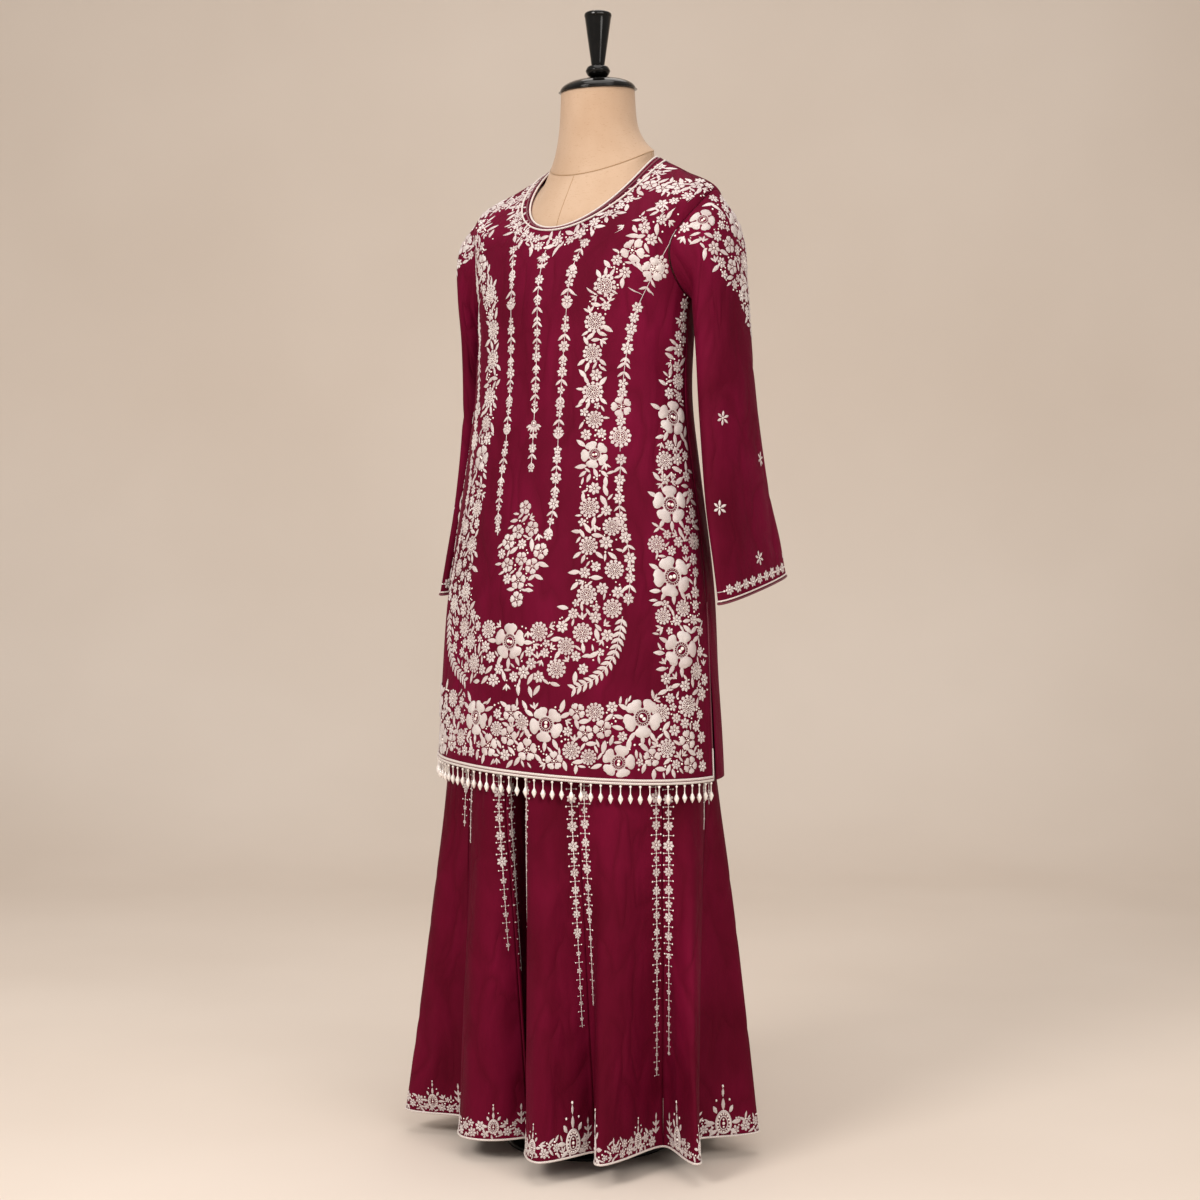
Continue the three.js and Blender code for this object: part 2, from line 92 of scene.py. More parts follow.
# %% Material helper
class Shading:
    """A node material under construction; add() makes a node and links its inputs."""

    def __init__(self, name, **surface):
        self.material = bpy.data.materials.new(name)
        self.material.use_nodes = True
        self.tree = self.material.node_tree
        self.surface = self.tree.nodes["Principled BSDF"]
        self.set(self.surface, surface)

    def set(self, node, values):
        for key, value in values.items():
            socket = node.inputs[key.replace("_", " ")] if isinstance(key, str) else node.inputs[key]
            if isinstance(value, bpy.types.NodeSocket):
                self.tree.links.new(value, socket)
            else:
                socket.default_value = value

    def add(self, kind, inputs=None, out=0, **settings):
        node = self.tree.nodes.new("ShaderNode" + kind)
        for key, value in settings.items():
            setattr(node, key, value)
        self.set(node, inputs or {})
        return node.outputs[out]

    def where(self, scale=(1, 1, 1), source="UV"):
        """Pattern coordinates: a cloth's own metres, or the object's."""
        place = self.add("TexCoord", out=source)
        return self.add("Mapping", {0: place, 3: scale})

    def mix(self, share, a, b):
        node = self.tree.nodes.new("ShaderNodeMix")
        node.data_type = "RGBA"
        self.set(node, {0: share, 6: a, 7: b})
        return node.outputs[2]

    def ramp(self, share, low, high, first=0.0, last=1.0):
        """share moved from the range low..high to first..last."""
        return self.add("MapRange", {0: share, 1: low, 2: high, 3: first, 4: last})

    def bump(self, height, strength, distance, normal=None):
        inputs = {"Strength": strength, "Distance": distance, "Height": height}
        if normal is not None:
            inputs["Normal"] = normal
        return self.add("Bump", inputs)


# %% [markdown]
# ### Georgette
# Georgette is a thin crepe, woven from hard-twisted yarn. The twist pebbles its face, so it looks
# nearly matt, with a faint sheen where it turns away. It crushes in use: shallow wrinkles run
# through it, too many to model, so a noise is folded at its middle into valleys that dip, and
# painted shade darkens them. The larger creases are modelled further down. UVs are metres of
# cloth, so the weave keeps its size round every fold.

# %% Georgette
GEORGETTE_ROUGHNESS = (0.55, 0.7)


def georgette_material(name, dark, light):
    """Crepe georgette: a pebbled weave and slubs give a soft, uneven red, with painted shade in the
    crushed wrinkles' valleys.
    """
    m = Shading(name, Sheen_Weight=0.07, Sheen_Roughness=0.42, Sheen_Tint=srgb("#9c3857"),
                Specular_IOR_Level=0.03)
    cloud = m.add("TexNoise", {"Vector": m.where(patches(111.1, 200)), "Scale": 1.0,
                               "Detail": 4.0})
    slub = m.add("TexNoise", {"Vector": m.where(patches(6.25, 0.7143)), "Scale": 1.0,
                              "Detail": 1.0})
    grain = m.add("TexNoise", {"Vector": m.where(patches(0.667, 0.667)), "Scale": 1.0,
                               "Detail": 2.0})
    # the real threads are about 0.25 mm apart, and these are twice as coarse so that they show
    warp = m.add("TexWave", {"Vector": m.where(), "Scale": stripes(0.507),
                             "Distortion": 0.6, "Detail": 0.0}, out="Fac", bands_direction="X")
    weft = m.add("TexWave", {"Vector": m.where(), "Scale": stripes(0.561),
                             "Distortion": 0.6, "Detail": 0.0}, out="Fac", bands_direction="Y")
    tone = m.mix(m.ramp(cloud, 0.3, 0.7), srgb(dark), srgb(light))
    tone = m.mix(m.ramp(slub, 0.72, 0.95), tone, srgb(light))
    # where a piece has the attribute, a single layer lets light through and looks paler
    sheer = m.add("Attribute", attribute_name="sheer", out="Fac")
    tone = m.mix(sheer, tone, srgb("#7c3443"))
    crumple = m.add("TexNoise", {"Vector": m.where(patches(47.62, 125)), "Scale": 1.0,
                                 "Detail": 1.8, "Distortion": 0.4})
    valley = m.add("Math", {0: m.add("Math", {0: crumple, 1: 0.5}, operation="SUBTRACT")},
                   operation="ABSOLUTE")
    # painted shade: the wrinkles' valleys are darkened towards the dark tone
    tone = m.mix(m.ramp(valley, 0.07, 0.0, 0.0, 0.45), tone, srgb(dark))
    weave = m.add("Math", {0: warp, 1: weft}, operation="MULTIPLY")
    height = m.add("Math", {0: weave, 1: grain}, operation="ADD")
    wrinkled = m.bump(valley, 0.8, 16 * MM)
    m.set(m.surface, {"Base Color": tone,
                      "Roughness": m.ramp(slub, 0.3, 0.8, *GEORGETTE_ROUGHNESS),
                      "Normal": m.bump(height, 0.3, 0.18 * MM, wrinkled)})
    return m.material


GEORGETTE = georgette_material("maroon_georgette", "#53091e", "#6e0e2f")
LEG_GEORGETTE = georgette_material("maroon_georgette_legs", "#50081b", "#6a0d2b")

# %% [markdown]
# ### Embroidery thread and beads
# Satin stitch lays strands side by side over a little padding. Each strand catches the light along
# its length, so a petal is streaked from foot to tip rather than flat white. The waves follow the
# motif's own UVs, which turn with it. The beads are small moulded pearls under a clear coat.

# %% Thread and beads
def thread_material(name, deep, bright):
    """Untwisted rayon floss: bright strands with painted shade in the gaps between them."""
    m = Shading(name, Sheen_Weight=0.25, Sheen_Roughness=0.3, Specular_IOR_Level=0.5,
                Roughness=0.42)
    strands = m.add("TexWave", {"Vector": m.where(), "Scale": stripes(0.748),
                                "Distortion": 1.2, "Detail": 1.0}, out="Fac",
                    bands_direction="X")
    tint = m.add("TexNoise", {"Vector": m.where(patches(28.57, 28.57, 28.57), "Object"),
                              "Scale": 1.0, "Detail": 2.0})
    shade = m.mix(m.ramp(tint, 0.35, 0.65), srgb(bright), srgb("#d3c5c3"))
    # painted shade: the gaps between strands take the deep tone
    tone = m.mix(m.ramp(strands, 0.0, 0.55), srgb(deep), shade)
    m.set(m.surface, {"Base Color": tone, "Normal": m.bump(strands, 0.6, 0.3 * MM)})
    return m.material


def pearl_material():
    """Moulded pearl beads: a hard gloss, each a slightly different white."""
    m = Shading("ivory_beads", Roughness=0.18, Coat_Weight=0.5, Coat_Roughness=0.08,
                Specular_IOR_Level=0.6)
    tint = m.add("TexNoise", {"Vector": m.where(patches(3.846, 3.846, 3.846), "Object"),
                              "Scale": 1.0, "Detail": 0.0})
    m.set(m.surface, {"Base Color": m.mix(m.ramp(tint, 0.3, 0.7), srgb("#e6dad2"),
                                          srgb("#fbf5ef"))})
    return m.material


THREAD = thread_material("ivory_satin_thread", "#ad9b97", "#ede6e3")
BEADS = pearl_material()

# %% [markdown]
# ### Piping
# Piping is a cord under a narrow strip, or a braid sewn on. What the eye takes from it is a round
# edge with slanting threads, which a diagonal wave along the cord's UVs gives, as a bump and as
# painted shade in the grooves between the threads.

# %% Piping cords
def cord_material(name, deep, bright):
    """A twisted cord: threads laid slantwise round it, with painted shade in the grooves between them."""
    m = Shading(name, Roughness=0.5, Sheen_Weight=0.2)
    lay = m.add("TexWave", {"Vector": m.where(), "Scale": stripes(1.208)}, out="Fac",
                bands_direction="DIAGONAL")
    # painted shade: the grooves between the threads take the deep tone
    tone = m.mix(m.ramp(lay, 0.1, 0.7), srgb(deep), srgb(bright))
    m.set(m.surface, {"Base Color": tone, "Normal": m.bump(lay, 0.5, 0.3 * MM)})
    return m.material


IVORY_CORD = cord_material("ivory_piping", "#b9a8a0", "#efe7e1")
MAROON_CORD = cord_material("maroon_piping", "#4c0a1c", "#7a1531")
SEAM_THREAD = cord_material("seam_thread", "#8f6c48", "#b08c62")

# %% [markdown]
# ### The form's cover and fittings
# A tailor's form wears a tight cotton or linen cover, matt and warm, with a plain weave and a few
# darker flecks. The cap, handle and stand are turned wood and steel under black lacquer or paint.
# They are rigid, so their patterns read the object's own coordinates.

# %% Cotton, lacquer and paint
def cotton_material():
    """Plain-woven cotton: dead matt, with cloudy wear and darker flecks."""
    m = Shading("cotton_cover", Roughness=0.88, Sheen_Weight=0.15, Sheen_Roughness=0.5,
                Specular_IOR_Level=0.2)
    cloud = m.add("TexNoise", {"Vector": m.where(patches(71.43, 71.43, 111.1), "Object"),
                               "Scale": 1.0, "Detail": 3.0})
    fleck = m.add("TexNoise", {"Vector": m.where(patches(3.846, 3.846, 1.111), "Object"),
                               "Scale": 1.0, "Detail": 1.0})
    across = m.add("TexWave", {"Vector": m.where(source="Object"), "Scale": stripes(0.7306),
                               "Distortion": 0.8}, out="Fac", bands_direction="Z")
    along = m.add("TexWave", {"Vector": m.where(source="Object"), "Scale": stripes(0.7306),
                              "Distortion": 0.8}, out="Fac", bands_direction="X")
    tone = m.mix(m.ramp(cloud, 0.3, 0.7), srgb("#bb9c80"), srgb("#c8ab91"))
    tone = m.mix(m.ramp(fleck, 0.62, 0.9), tone, srgb("#ab8866"))
    weave = m.add("Math", {0: across, 1: along}, operation="ADD")
    m.set(m.surface, {"Base Color": tone, "Normal": m.bump(weave, 0.35, 0.25 * MM)})
    return m.material


def black_finish(name, tone, roughness, coat):
    """Black lacquer or paint: a dark mirror, dulled a little by brushing and dust."""
    m = Shading(name, Coat_Weight=coat, Coat_Roughness=0.08, Specular_IOR_Level=0.16)
    brush = m.add("TexNoise", {"Vector": m.where(patches(16.67, 16.67, 2), "Object"),
                               "Scale": 1.0, "Detail": 3.0})
    dust = m.add("TexNoise", {"Vector": m.where(patches(33.33, 33.33, 33.33), "Object"),
                              "Scale": 1.0, "Detail": 5.0})
    m.set(m.surface, {"Base Color": m.mix(m.ramp(dust, 0.4, 0.8), srgb(tone), srgb("#151210")),
                      "Roughness": m.ramp(dust, 0.35, 0.75, roughness, roughness + 0.1),
                      "Normal": m.bump(brush, 0.06, 0.3 * MM)})
    return m.material


COTTON = cotton_material()
LACQUER = black_finish("black_lacquer", "#080706", 0.1, 0.3)
BLACK_METAL = black_finish("black_powder_coat", "#15120f", 0.35, 0.1)
print("materials:", sorted(material.name for material in bpy.data.materials))


# %% [markdown]
# ## Sizes of the cut
# A garment's form is given by a few level rings, as a tailor measures bust, waist and hip. Points
# traced all over it could give it too, but a dozen rings are easy to read and change, and a smooth
# curve through them does the rest. They are the solids' own rings, in millimetres about the neck's
# axis.

# %% Rings, sections and outlines
# z at the front, side and back; half width; y of the front, back and side; the seam's angle;
# crest; square; sway
KAMEEZ = np.array([
    [533, 532, 532, 214, -216, 125, -45, 96, 2, 1, 10],
    [645, 645, 645, 209, -208, 118, -45, 95.5, 2, 1, 6],
    [765, 765, 765, 202, -196, 108, -44, 95, 2, 1, 1],
    [900, 900, 900, 187, -174, 92, -42, 94, 2, 1, 0],
    [1030, 1030, 1030, 171, -156, 74, -40, 92, 2, 1, 0],
    [1120, 1115, 1112, 169, -149, 80, -34, 91, 2, 1, 0],
    [1180, 1182, 1180, 172, -146, 92, -26, 90, 2, 1, 0],
    [1222, 1262, 1245, 187, -137, 98, -12, 90, 1.7, 1, 0],
    [1252, 1330, 1305, 196, -123, 90, 2, 90, 1.3, 0.9, 0],
    [1268, 1363, 1344, 140, -114, 76, 12, 90, 1.05, 0.8, 0],
    [1282, 1389, 1372, 87, -105, 60, 18, 90, 0.88, 0.74, 0],
])
HIP, ARMPIT, SHOULDER = 2, 6, 8
SLIT_SPREAD, ARMHOLE_CUT, SEAM = 2.4, 27, 0.3

FORM = np.array([
    [800, 800, 800, 146, -134, 62, -36, 90, 2, 1, 0],
    [860, 860, 860, 155, -142, 74, -36, 90, 2, 1, 0],
    [960, 960, 960, 146, -136, 62, -36, 90, 2, 1, 0],
    [1030, 1030, 1030, 138, -128, 56, -34, 90, 2, 1, 0],
    [1110, 1105, 1102, 148, -136, 66, -30, 90, 2, 1, 0],
    [1178, 1180, 1178, 158, -138, 80, -24, 90, 2, 1, 0],
    [1218, 1256, 1240, 174, -129, 87, -10, 90, 1.7, 1, 0],
    [1248, 1321, 1297, 183, -115, 80, 3, 90, 1.3, 0.9, 0],
    [1266, 1355, 1336, 132, -106, 68, 12, 90, 1.1, 0.85, 0],
    [1300, 1381, 1371, 86, -94, 57, 18, 90, 1, 0.85, 0],
    [1362, 1398, 1412, 79, -58, 56, 19, 90, 1.1, 0.95, 0],
])
FORM_NECK = np.array([
    [1362, 1398, 1412, 79, -58, 56, 19, 90, 1.1, 0.95, 0],
    [1386, 1414, 1427, 67, -55, 53, 9, 90, 1.3, 1, 0],
    [1426, 1441, 1451, 57, -53, 52, 2, 90, 1.6, 1, 0],
    [1484, 1488.5, 1493, 52.5, -53, 52, 0, 90, 1, 1, 0],
])

# the inner and outer line in x and z, the front and back fold in y, the front's extra drop
LEFT_SLEEVE = np.array([
    [179, 1168, 223, 1290, -62, 54, 0],
    [183, 1138, 230, 1236, -61, 57, 0],
    [187, 1088, 235, 1154, -60, 60, 0],
    [193, 1008, 242, 1034, -63, 68, 0],
    [207, 904, 249, 912, -67, 82, 8],
    [221, 832, 256, 836, -67, 96, 14],
    [231, 779, 259, 780, -66, 106, 18],
])
RIGHT_SLEEVE = np.array([
    [179, 1168, 222, 1290, -60, 54, 0],
    [182, 1138, 227, 1236, -56, 60, 0],
    [184, 1088, 226, 1154, -48, 66, 0],
    [187, 1008, 227, 1034, -46, 80, 0],
    [201, 904, 238, 912, -50, 94, 6],
    [216, 832, 249, 836, -54, 104, 11],
    [227, 781, 257, 782, -57, 110, 15],
])

# height, half width, half depth, middle and flare of the oval that both legs share
LEG = np.array([
    [30, 205, 160, -45, 1],
    [150, 205, 160, -45, 0.75],
    [270, 205, 160, -45, 0.5],
    [390, 205, 160, -45, 0.25],
    [500, 204, 159, -45, 0.04],
    [620, 194, 149, -43, 0],
    [745, 172, 128, -38, 0],
])
CROTCH = 6
# a point's angle on the oval, or None with an x and a share of the depth on the inside leg,
# and its place at the hem
LEFT_LEG = [
    (5, 0, 0, 5, -187), (15, 0, 0, 72, -246), (27, 0, 0, 110, -184), (44, 0, 0, 150, -206),
    (64, 0, 0, 176, -106), (81, 0, 0, 251, -130), (99, 0, 0, 205, -42), (119, 0, 0, 238, 48),
    (139, 0, 0, 166, 72), (158, 0, 0, 106, 150), (176, 0, 0, 10, 104), (None, 9, 0.62, 14, 60),
    (None, -20, 0.16, -21, -20), (None, 7, -0.3, 11, -84), (None, 16, -0.62, 28, -132),
]
RIGHT_LEG = [
    (5, 0, 0, 6, -183), (15, 0, 0, 78, -208), (27, 0, 0, 148, -150), (44, 0, 0, 238, -140),
    (64, 0, 0, 206, -62), (81, 0, 0, 251, 6), (99, 0, 0, 186, 40), (119, 0, 0, 192, 128),
    (139, 0, 0, 128, 88), (158, 0, 0, 76, 150), (176, 0, 0, 12, 100), (None, 9, 0.62, 12, 60),
    (None, 28, 0.16, 30, -20), (None, 11, -0.3, 10, -84), (None, 18, -0.62, 32, -132),
]
# the outline points between which each gore is cut, from the front corner round to the back
GORES = [(0, 2), (2, 4), (4, 6), (6, 8), (8, 10), (10, 15)]
print("rings:", len(KAMEEZ), "kameez,", len(LEFT_SLEEVE), "a sleeve,", len(LEG), "a leg;",
      len(GORES), "gores a leg")


# %% [markdown]
# ## Surfaces
# Each cloth is a function of u round the body and v up it. A Catmull-Rom curve passes through every
# table row, so a size in the table is a size on the cloth. A subdivided cage would shrink away from
# its points instead.

# %% Curves through the tables
def catmull_rom(a, b, c, d, t):
    """The smooth curve from b to c as t goes from 0 to 1."""
    return 0.5 * (2 * b + (c - a) * t + (2 * a - 5 * b + 4 * c - d) * t**2
                  + (3 * b - a - 3 * c + d) * t**3)


def at_level(rows, level, wrap=False):
    """The rows' values at a level between them, on a smooth curve."""
    level, count = np.asarray(level, float), len(rows)
    i = np.floor(level).astype(int)
    if not wrap:
        i = np.clip(i, 0, count - 2)
    pick = (lambda k: k % count) if wrap else (lambda k: np.clip(k, 0, count - 1))
    near = [rows[pick(i + k)] for k in (-1, 0, 1, 2)]
    share = level - i
    return catmull_rom(*near, share.reshape(share.shape + (1,) * (near[0].ndim - share.ndim)))


# %% The kameez's and the form's rings
def ring_point(rings, degrees, level):
    """A point on a table of rings; 0 degrees is the centre front, 90 the left side."""
    z_front, z_side, z_back, half, front, back, side, _, crest, square, sway = np.moveaxis(
        at_level(rings, level), -1, 0)
    c, s = np.cos(np.radians(degrees)), np.sin(np.radians(degrees))
    end, height = np.where(c > 0, front, back), np.where(c > 0, z_front, z_back)
    near = np.abs(c)
    return MM * np.stack([
        half * s,
        side + (end - side) * near**square,
        z_side + (height - z_side) * near**crest - sway * s,
    ], -1) + (0, AXIS_Y, 0)


def panel_edge(level, away):
    """The angle of a kameez panel's edge; away is -1 for the front and 1 for the back."""
    slit = np.maximum(0, HIP - level) / HIP * SLIT_SPREAD
    share = np.clip((level - ARMPIT) / (SHOULDER - ARMPIT), 0, 1)
    armhole = ARMHOLE_CUT * np.sin(np.pi * share) ** 0.6
    return at_level(KAMEEZ, level)[..., 7] + away * (slit + armhole)


def front_point(u, v):
    """The kameez's front panel; u is -1 at its right edge and 1 at its left."""
    return ring_point(KAMEEZ, u * panel_edge(v, -1), v)


def back_point(u, v):
    """The kameez's back panel; u runs from the left edge to the right."""
    return ring_point(KAMEEZ, 180 + u * (180 - panel_edge(v, 1)), v)


# %% From the armhole down the sleeve
def armhole_point(degrees):
    """The panels' edge round the left armhole; 0 degrees is on top, 90 in front."""
    level = ARMPIT + (SHOULDER - ARMPIT) * (1 + np.cos(np.radians(degrees))) / 2
    away = np.where(np.sin(np.radians(degrees)) < 0, 1, -1)
    return ring_point(KAMEEZ, panel_edge(level, away), level)


def unit(vectors):
    """The vectors at length 1."""
    return vectors / np.maximum(np.linalg.norm(vectors, axis=-1, keepdims=True), 1e-12)


def sleeve_head(degrees):
    """The sleeve's first ring, just clear of the panels that it is sewn to."""
    low = ((1 - np.cos(np.radians(degrees))) / 2)[..., None]
    along = unit(armhole_point(degrees + 2) - armhole_point(degrees - 2))
    outward = unit(np.concatenate([np.ones_like(low), np.zeros_like(low), 1 - low**0.5], -1))
    inward = unit(np.cross(along, outward))
    side = SEAM * (1.7 + 3 * np.sin(np.radians(degrees))[..., None] ** 2)
    return armhole_point(degrees) + MM * (
        outward * SEAM * (2 + 8 * low) - inward * side * (1 - low))


def sleeve_point(sections, side):
    """The sleeve's surface; u is the angle round it and v is 0 at the armhole, 7 at the cuff."""
    def point(u, v):
        turn = side * u
        c, s = np.cos(np.radians(turn)), np.sin(np.radians(turn))
        rings = [sleeve_head(turn)]
        for inner_x, inner_z, outer_x, outer_z, front, back, lean in sections:
            rings.append(MM * np.stack([
                inner_x + (outer_x - inner_x) * (1 + c) / 2,
                back + (front - back) * (1 + s) / 2,
                inner_z + (outer_z - inner_z) * (1 + c) / 2 - lean * s,
            ], -1) + (0, AXIS_Y, 0))
        rings = np.stack(rings)
        i = np.clip(np.floor(v).astype(int), 0, len(sections) - 1)
        rows, columns = np.indices(i.shape)
        near = [rings[np.clip(i + k, 0, len(sections)), rows, columns] for k in (-1, 0, 1, 2)]
        found = catmull_rom(*near, (v - i)[..., None])
        found[..., 0] *= side
        return found
    return point


# %% A leg's flutes
# how much deeper the cloth hangs in each valley between flutes, in mm at the hem, and half
# the valley's width, counted in the outline's points
VALLEYS = {0: 28, 2: 24, 4: 20, 6: 22, 8: 20}
VALLEY_WIDTH = 0.42


def leg_point(outline, side):
    """A leg's surface; u counts along the outline's points and v is a level."""
    hem = np.array([row[3:] for row in outline], float)

    def point(u, v):
        _, half_x, half_y, mid_y, flare = np.moveaxis(at_level(LEG, v), -1, 0)
        height = at_level(LEG, v)[..., 0]
        control = []
        for angle, inside_x, inside_share, hem_x, hem_y in outline:
            turn = math.radians(angle or 0)
            top_x = half_x * math.sin(turn) if angle is not None else inside_x
            share = -math.cos(turn) if angle is not None else inside_share
            top_y = mid_y + half_y * share
            control.append(np.stack([top_x + (hem_x - top_x) * flare,
                                     top_y + (hem_y - top_y) * flare], -1))
        control = np.stack(control)
        i = np.floor(u).astype(int)
        rows, columns = np.indices(i.shape)
        near = [control[(i + k) % len(outline), rows, columns] for k in (-1, 0, 1, 2)]
        flat = catmull_rom(*near, (u - i)[..., None])
        for index, depth in VALLEYS.items():
            inward = unit(hem[index] - (hem[index - 1] + hem[index + 1]) / 2) if index else (0, 1)
            away = np.minimum(np.abs(u - index), len(outline) - np.abs(u - index))
            deep = depth * (0.3 + 0.7 * flare) * np.clip((CROTCH - v) / 2, 0, 1)
            flat += np.asarray(inward) * (deep * np.exp(-((away / VALLEY_WIDTH) ** 2)))[..., None]
        return MM * np.stack([side * flat[..., 0], flat[..., 1], height], -1) + (0, AXIS_Y, 0)
    return point


# %% [markdown]
# ## Cloth and its creases
# Hanging cloth could be dropped on the form by a simulation. Here every main crease is given one
# by one instead, because it then lies where a worn suit has it and comes out the same each time. A
# crease is a smooth ridge or trough between two places on the cloth, with eased ends. Places are
# metres across and up the cloth itself, so stitches can be laid by the same measure.

# %% Creases
def fold(start, end, depth, width, bend=0.0, fade=0.3):
    """A soft ridge, or a trough if depth is negative, between two places in cm; mm deep."""
    start, end = 0.01 * np.array(start), 0.01 * np.array(end)
    run = end - start
    length = np.linalg.norm(run)
    run = run / length

    def height(s, h):
        along = ((s - start[0]) * run[0] + (h - start[1]) * run[1]) / length
        across = (h - start[1]) * run[0] - (s - start[0]) * run[1]
        across = across - 0.01 * bend * 4 * along * (1 - along)
        ease = np.clip(along / fade, 0, 1) * np.clip((1 - along) / fade, 0, 1)
        ease = ease * ease * (3 - 2 * ease)
        return MM * depth * np.exp(-((across / (0.01 * width)) ** 2)) * ease
    return height


def folds(rows):
    """A fold for each row of a table."""
    return [fold(*row) for row in rows]


def undulation(seed, size):
    """Slow waves that keep a hanging cloth from lying dead flat."""
    rng = np.random.default_rng(seed)
    waves = [(rng.uniform(14, 60), rng.uniform(5, 26), rng.uniform(0, TAU), rng.uniform(0.4, 1))
             for _ in range(9)]

    def height(s, h):
        total = sum(k * np.sin(a * s + b * h + p) for a, b, p, k in waves)
        return MM * size * total / 3
    return height


# %% A piece of cloth
class Cloth:
    """A piece of cloth as a grid. s is metres across from its middle and h metres up from
    its lower edge; c and r count the grid's columns and rows."""

    def __init__(self, base, us, vs, creases=(), middle=None, ring=False):
        u, v = np.meshgrid(us, vs)
        self.ring = ring
        self.rows, self.columns = u.shape
        flat = base(u, v)
        self.middle = (self.columns - 1) / 2 if middle is None else middle
        step = np.linalg.norm(np.diff(flat, axis=1), axis=-1)
        self.s = np.pad(np.cumsum(step, 1), ((0, 0), (1, 0)))
        zero = [np.interp(self.middle, range(self.columns), row) for row in self.s]
        self.s -= np.array(zero)[:, None]
        column = flat[:, int(round(self.middle))]
        self.h = np.pad(np.cumsum(np.linalg.norm(np.diff(column, axis=0), axis=-1)), (1, 0))
        normals = self.facing(flat)
        height = sum((crease(self.s, self.h[:, None]) for crease in creases),
                     np.zeros_like(self.s))
        self.points = flat + normals * height[..., None]
        self.normals = self.facing(self.points)

    def facing(self, points):
        """The grid's outward normals."""
        if self.ring:
            wide = np.concatenate([points[:, -1:], points, points[:, :1]], 1)
            du = wide[:, 2:] - wide[:, :-2]
        else:
            du = np.gradient(points, axis=1)
        return unit(np.cross(du, np.gradient(points, axis=0)))

    def locate(self, s, h):
        """Grid columns and rows of places given in metres."""
        s, h = np.atleast_1d(s).astype(float), np.atleast_1d(h).astype(float)
        r = np.interp(h, self.h, np.arange(self.rows))
        low = np.clip(np.floor(r).astype(int), 0, self.rows - 2)
        index = np.arange(self.columns)
        c = np.empty_like(r)
        for i in range(len(r)):
            share = r[i] - low[i]
            row = self.s[low[i]] * (1 - share) + self.s[low[i] + 1] * share
            c[i] = np.interp(s[i], row, index)
        return c, r

    def sample(self, grid, c, r):
        """A grid's values between its nodes."""
        c = c % self.columns if self.ring else np.clip(c, 0, self.columns - 1.0001)
        r = np.clip(r, 0, self.rows - 1.0001)
        i, j = np.floor(c).astype(int), np.floor(r).astype(int)
        a, b = (c - i)[..., None], (r - j)[..., None]
        right = (i + 1) % self.columns if self.ring else i + 1
        return ((grid[j, i] * (1 - a) + grid[j, right] * a) * (1 - b)
                + (grid[j + 1, i] * (1 - a) + grid[j + 1, right] * a) * b)

    def shift(self, c, r, across, up):
        """The place that lies so many metres across and up from a place on the grid."""
        inside = np.clip(c, 0.5, self.columns - 1.5) if not self.ring else c
        level = np.clip(r, 0.5, self.rows - 1.5)
        right = (self.sample(self.points, inside + 0.5, level)
                 - self.sample(self.points, inside - 0.5, level))
        rise = (self.sample(self.points, inside, level + 0.5)
                - self.sample(self.points, inside, level - 0.5))
        normal = unit(self.sample(self.normals, inside, level))
        right = right - normal * np.sum(right * normal, -1, keepdims=True)
        width = np.linalg.norm(right, axis=-1)
        e1 = right / width[..., None]
        e2 = np.cross(normal, e1)
        dr = up / np.maximum(np.sum(rise * e2, -1), 1e-5)
        dc = (across - np.sum(rise * e1, -1) * dr) / width
        return c + dc, r + dr

    def step(self, c, r, across, up):
        """The same for a single place."""
        c, r = self.shift(*(np.array([value], float) for value in (c, r, across, up)))
        return float(c[0]), float(r[0])

    def place(self, c, r, lift=0.0):
        """Points on the cloth's outer face, lifted off it."""
        lift = np.asarray(lift)[..., None] + CLOTH_THICKNESS / 2
        return self.sample(self.points, c, r) + unit(self.sample(self.normals, c, r)) * lift


# %% [markdown]
# ## From grids to meshes
# Every piece is a plain mesh from arrays of points and faces, with its place in the mesh and its
# object at the origin. Cloth is a closed shell with an outer and an inner face, because a single
# sheet has no thickness to show at an edge. Cords are rings swept along a path, and the form and
# its fittings are rings closed at both ends.

# %% Mesh helpers
def build(name, positions, faces, uvs=None, materials=(), face_material=None):
    """A smooth mesh object that rides on the only body."""
    mesh = bpy.data.meshes.new(name)
    mesh.from_pydata(np.asarray(positions).tolist(), [], np.asarray(faces).tolist()
                     if isinstance(faces, np.ndarray) else faces)
    if uvs is not None:
        layer = mesh.uv_layers.new(name="metres")
        loops = np.empty(len(mesh.loops), np.int32)
        mesh.loops.foreach_get("vertex_index", loops)
        layer.data.foreach_set("uv", np.asarray(uvs, np.float32)[loops].ravel())
    for material in materials:
        mesh.materials.append(material)
    if face_material is not None:
        mesh.polygons.foreach_set("material_index", np.asarray(face_material, np.int32))
    mesh.shade_smooth()
    obj = bpy.data.objects.new(name, mesh)
    bpy.context.scene.collection.objects.link(obj)
    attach(obj, "root")
    return obj


def grid_faces(rows, columns, ring=False, start=0, flip=False):
    """Quads over a grid of rows and columns."""
    across = columns if ring else columns - 1
    j, i = np.meshgrid(np.arange(rows - 1), np.arange(across), indexing="ij")
    right = (i + 1) % columns
    quads = np.stack([j * columns + i, j * columns + right, (j + 1) * columns + right,
                      (j + 1) * columns + i], -1).reshape(-1, 4) + start
    return quads[:, ::-1] if flip else quads


# %% Cloth as a shell
CLOTH_PIECES = []
PATTERN_STEP = np.array([0.61, 0.37])     # metres from one piece's pattern to the next one's


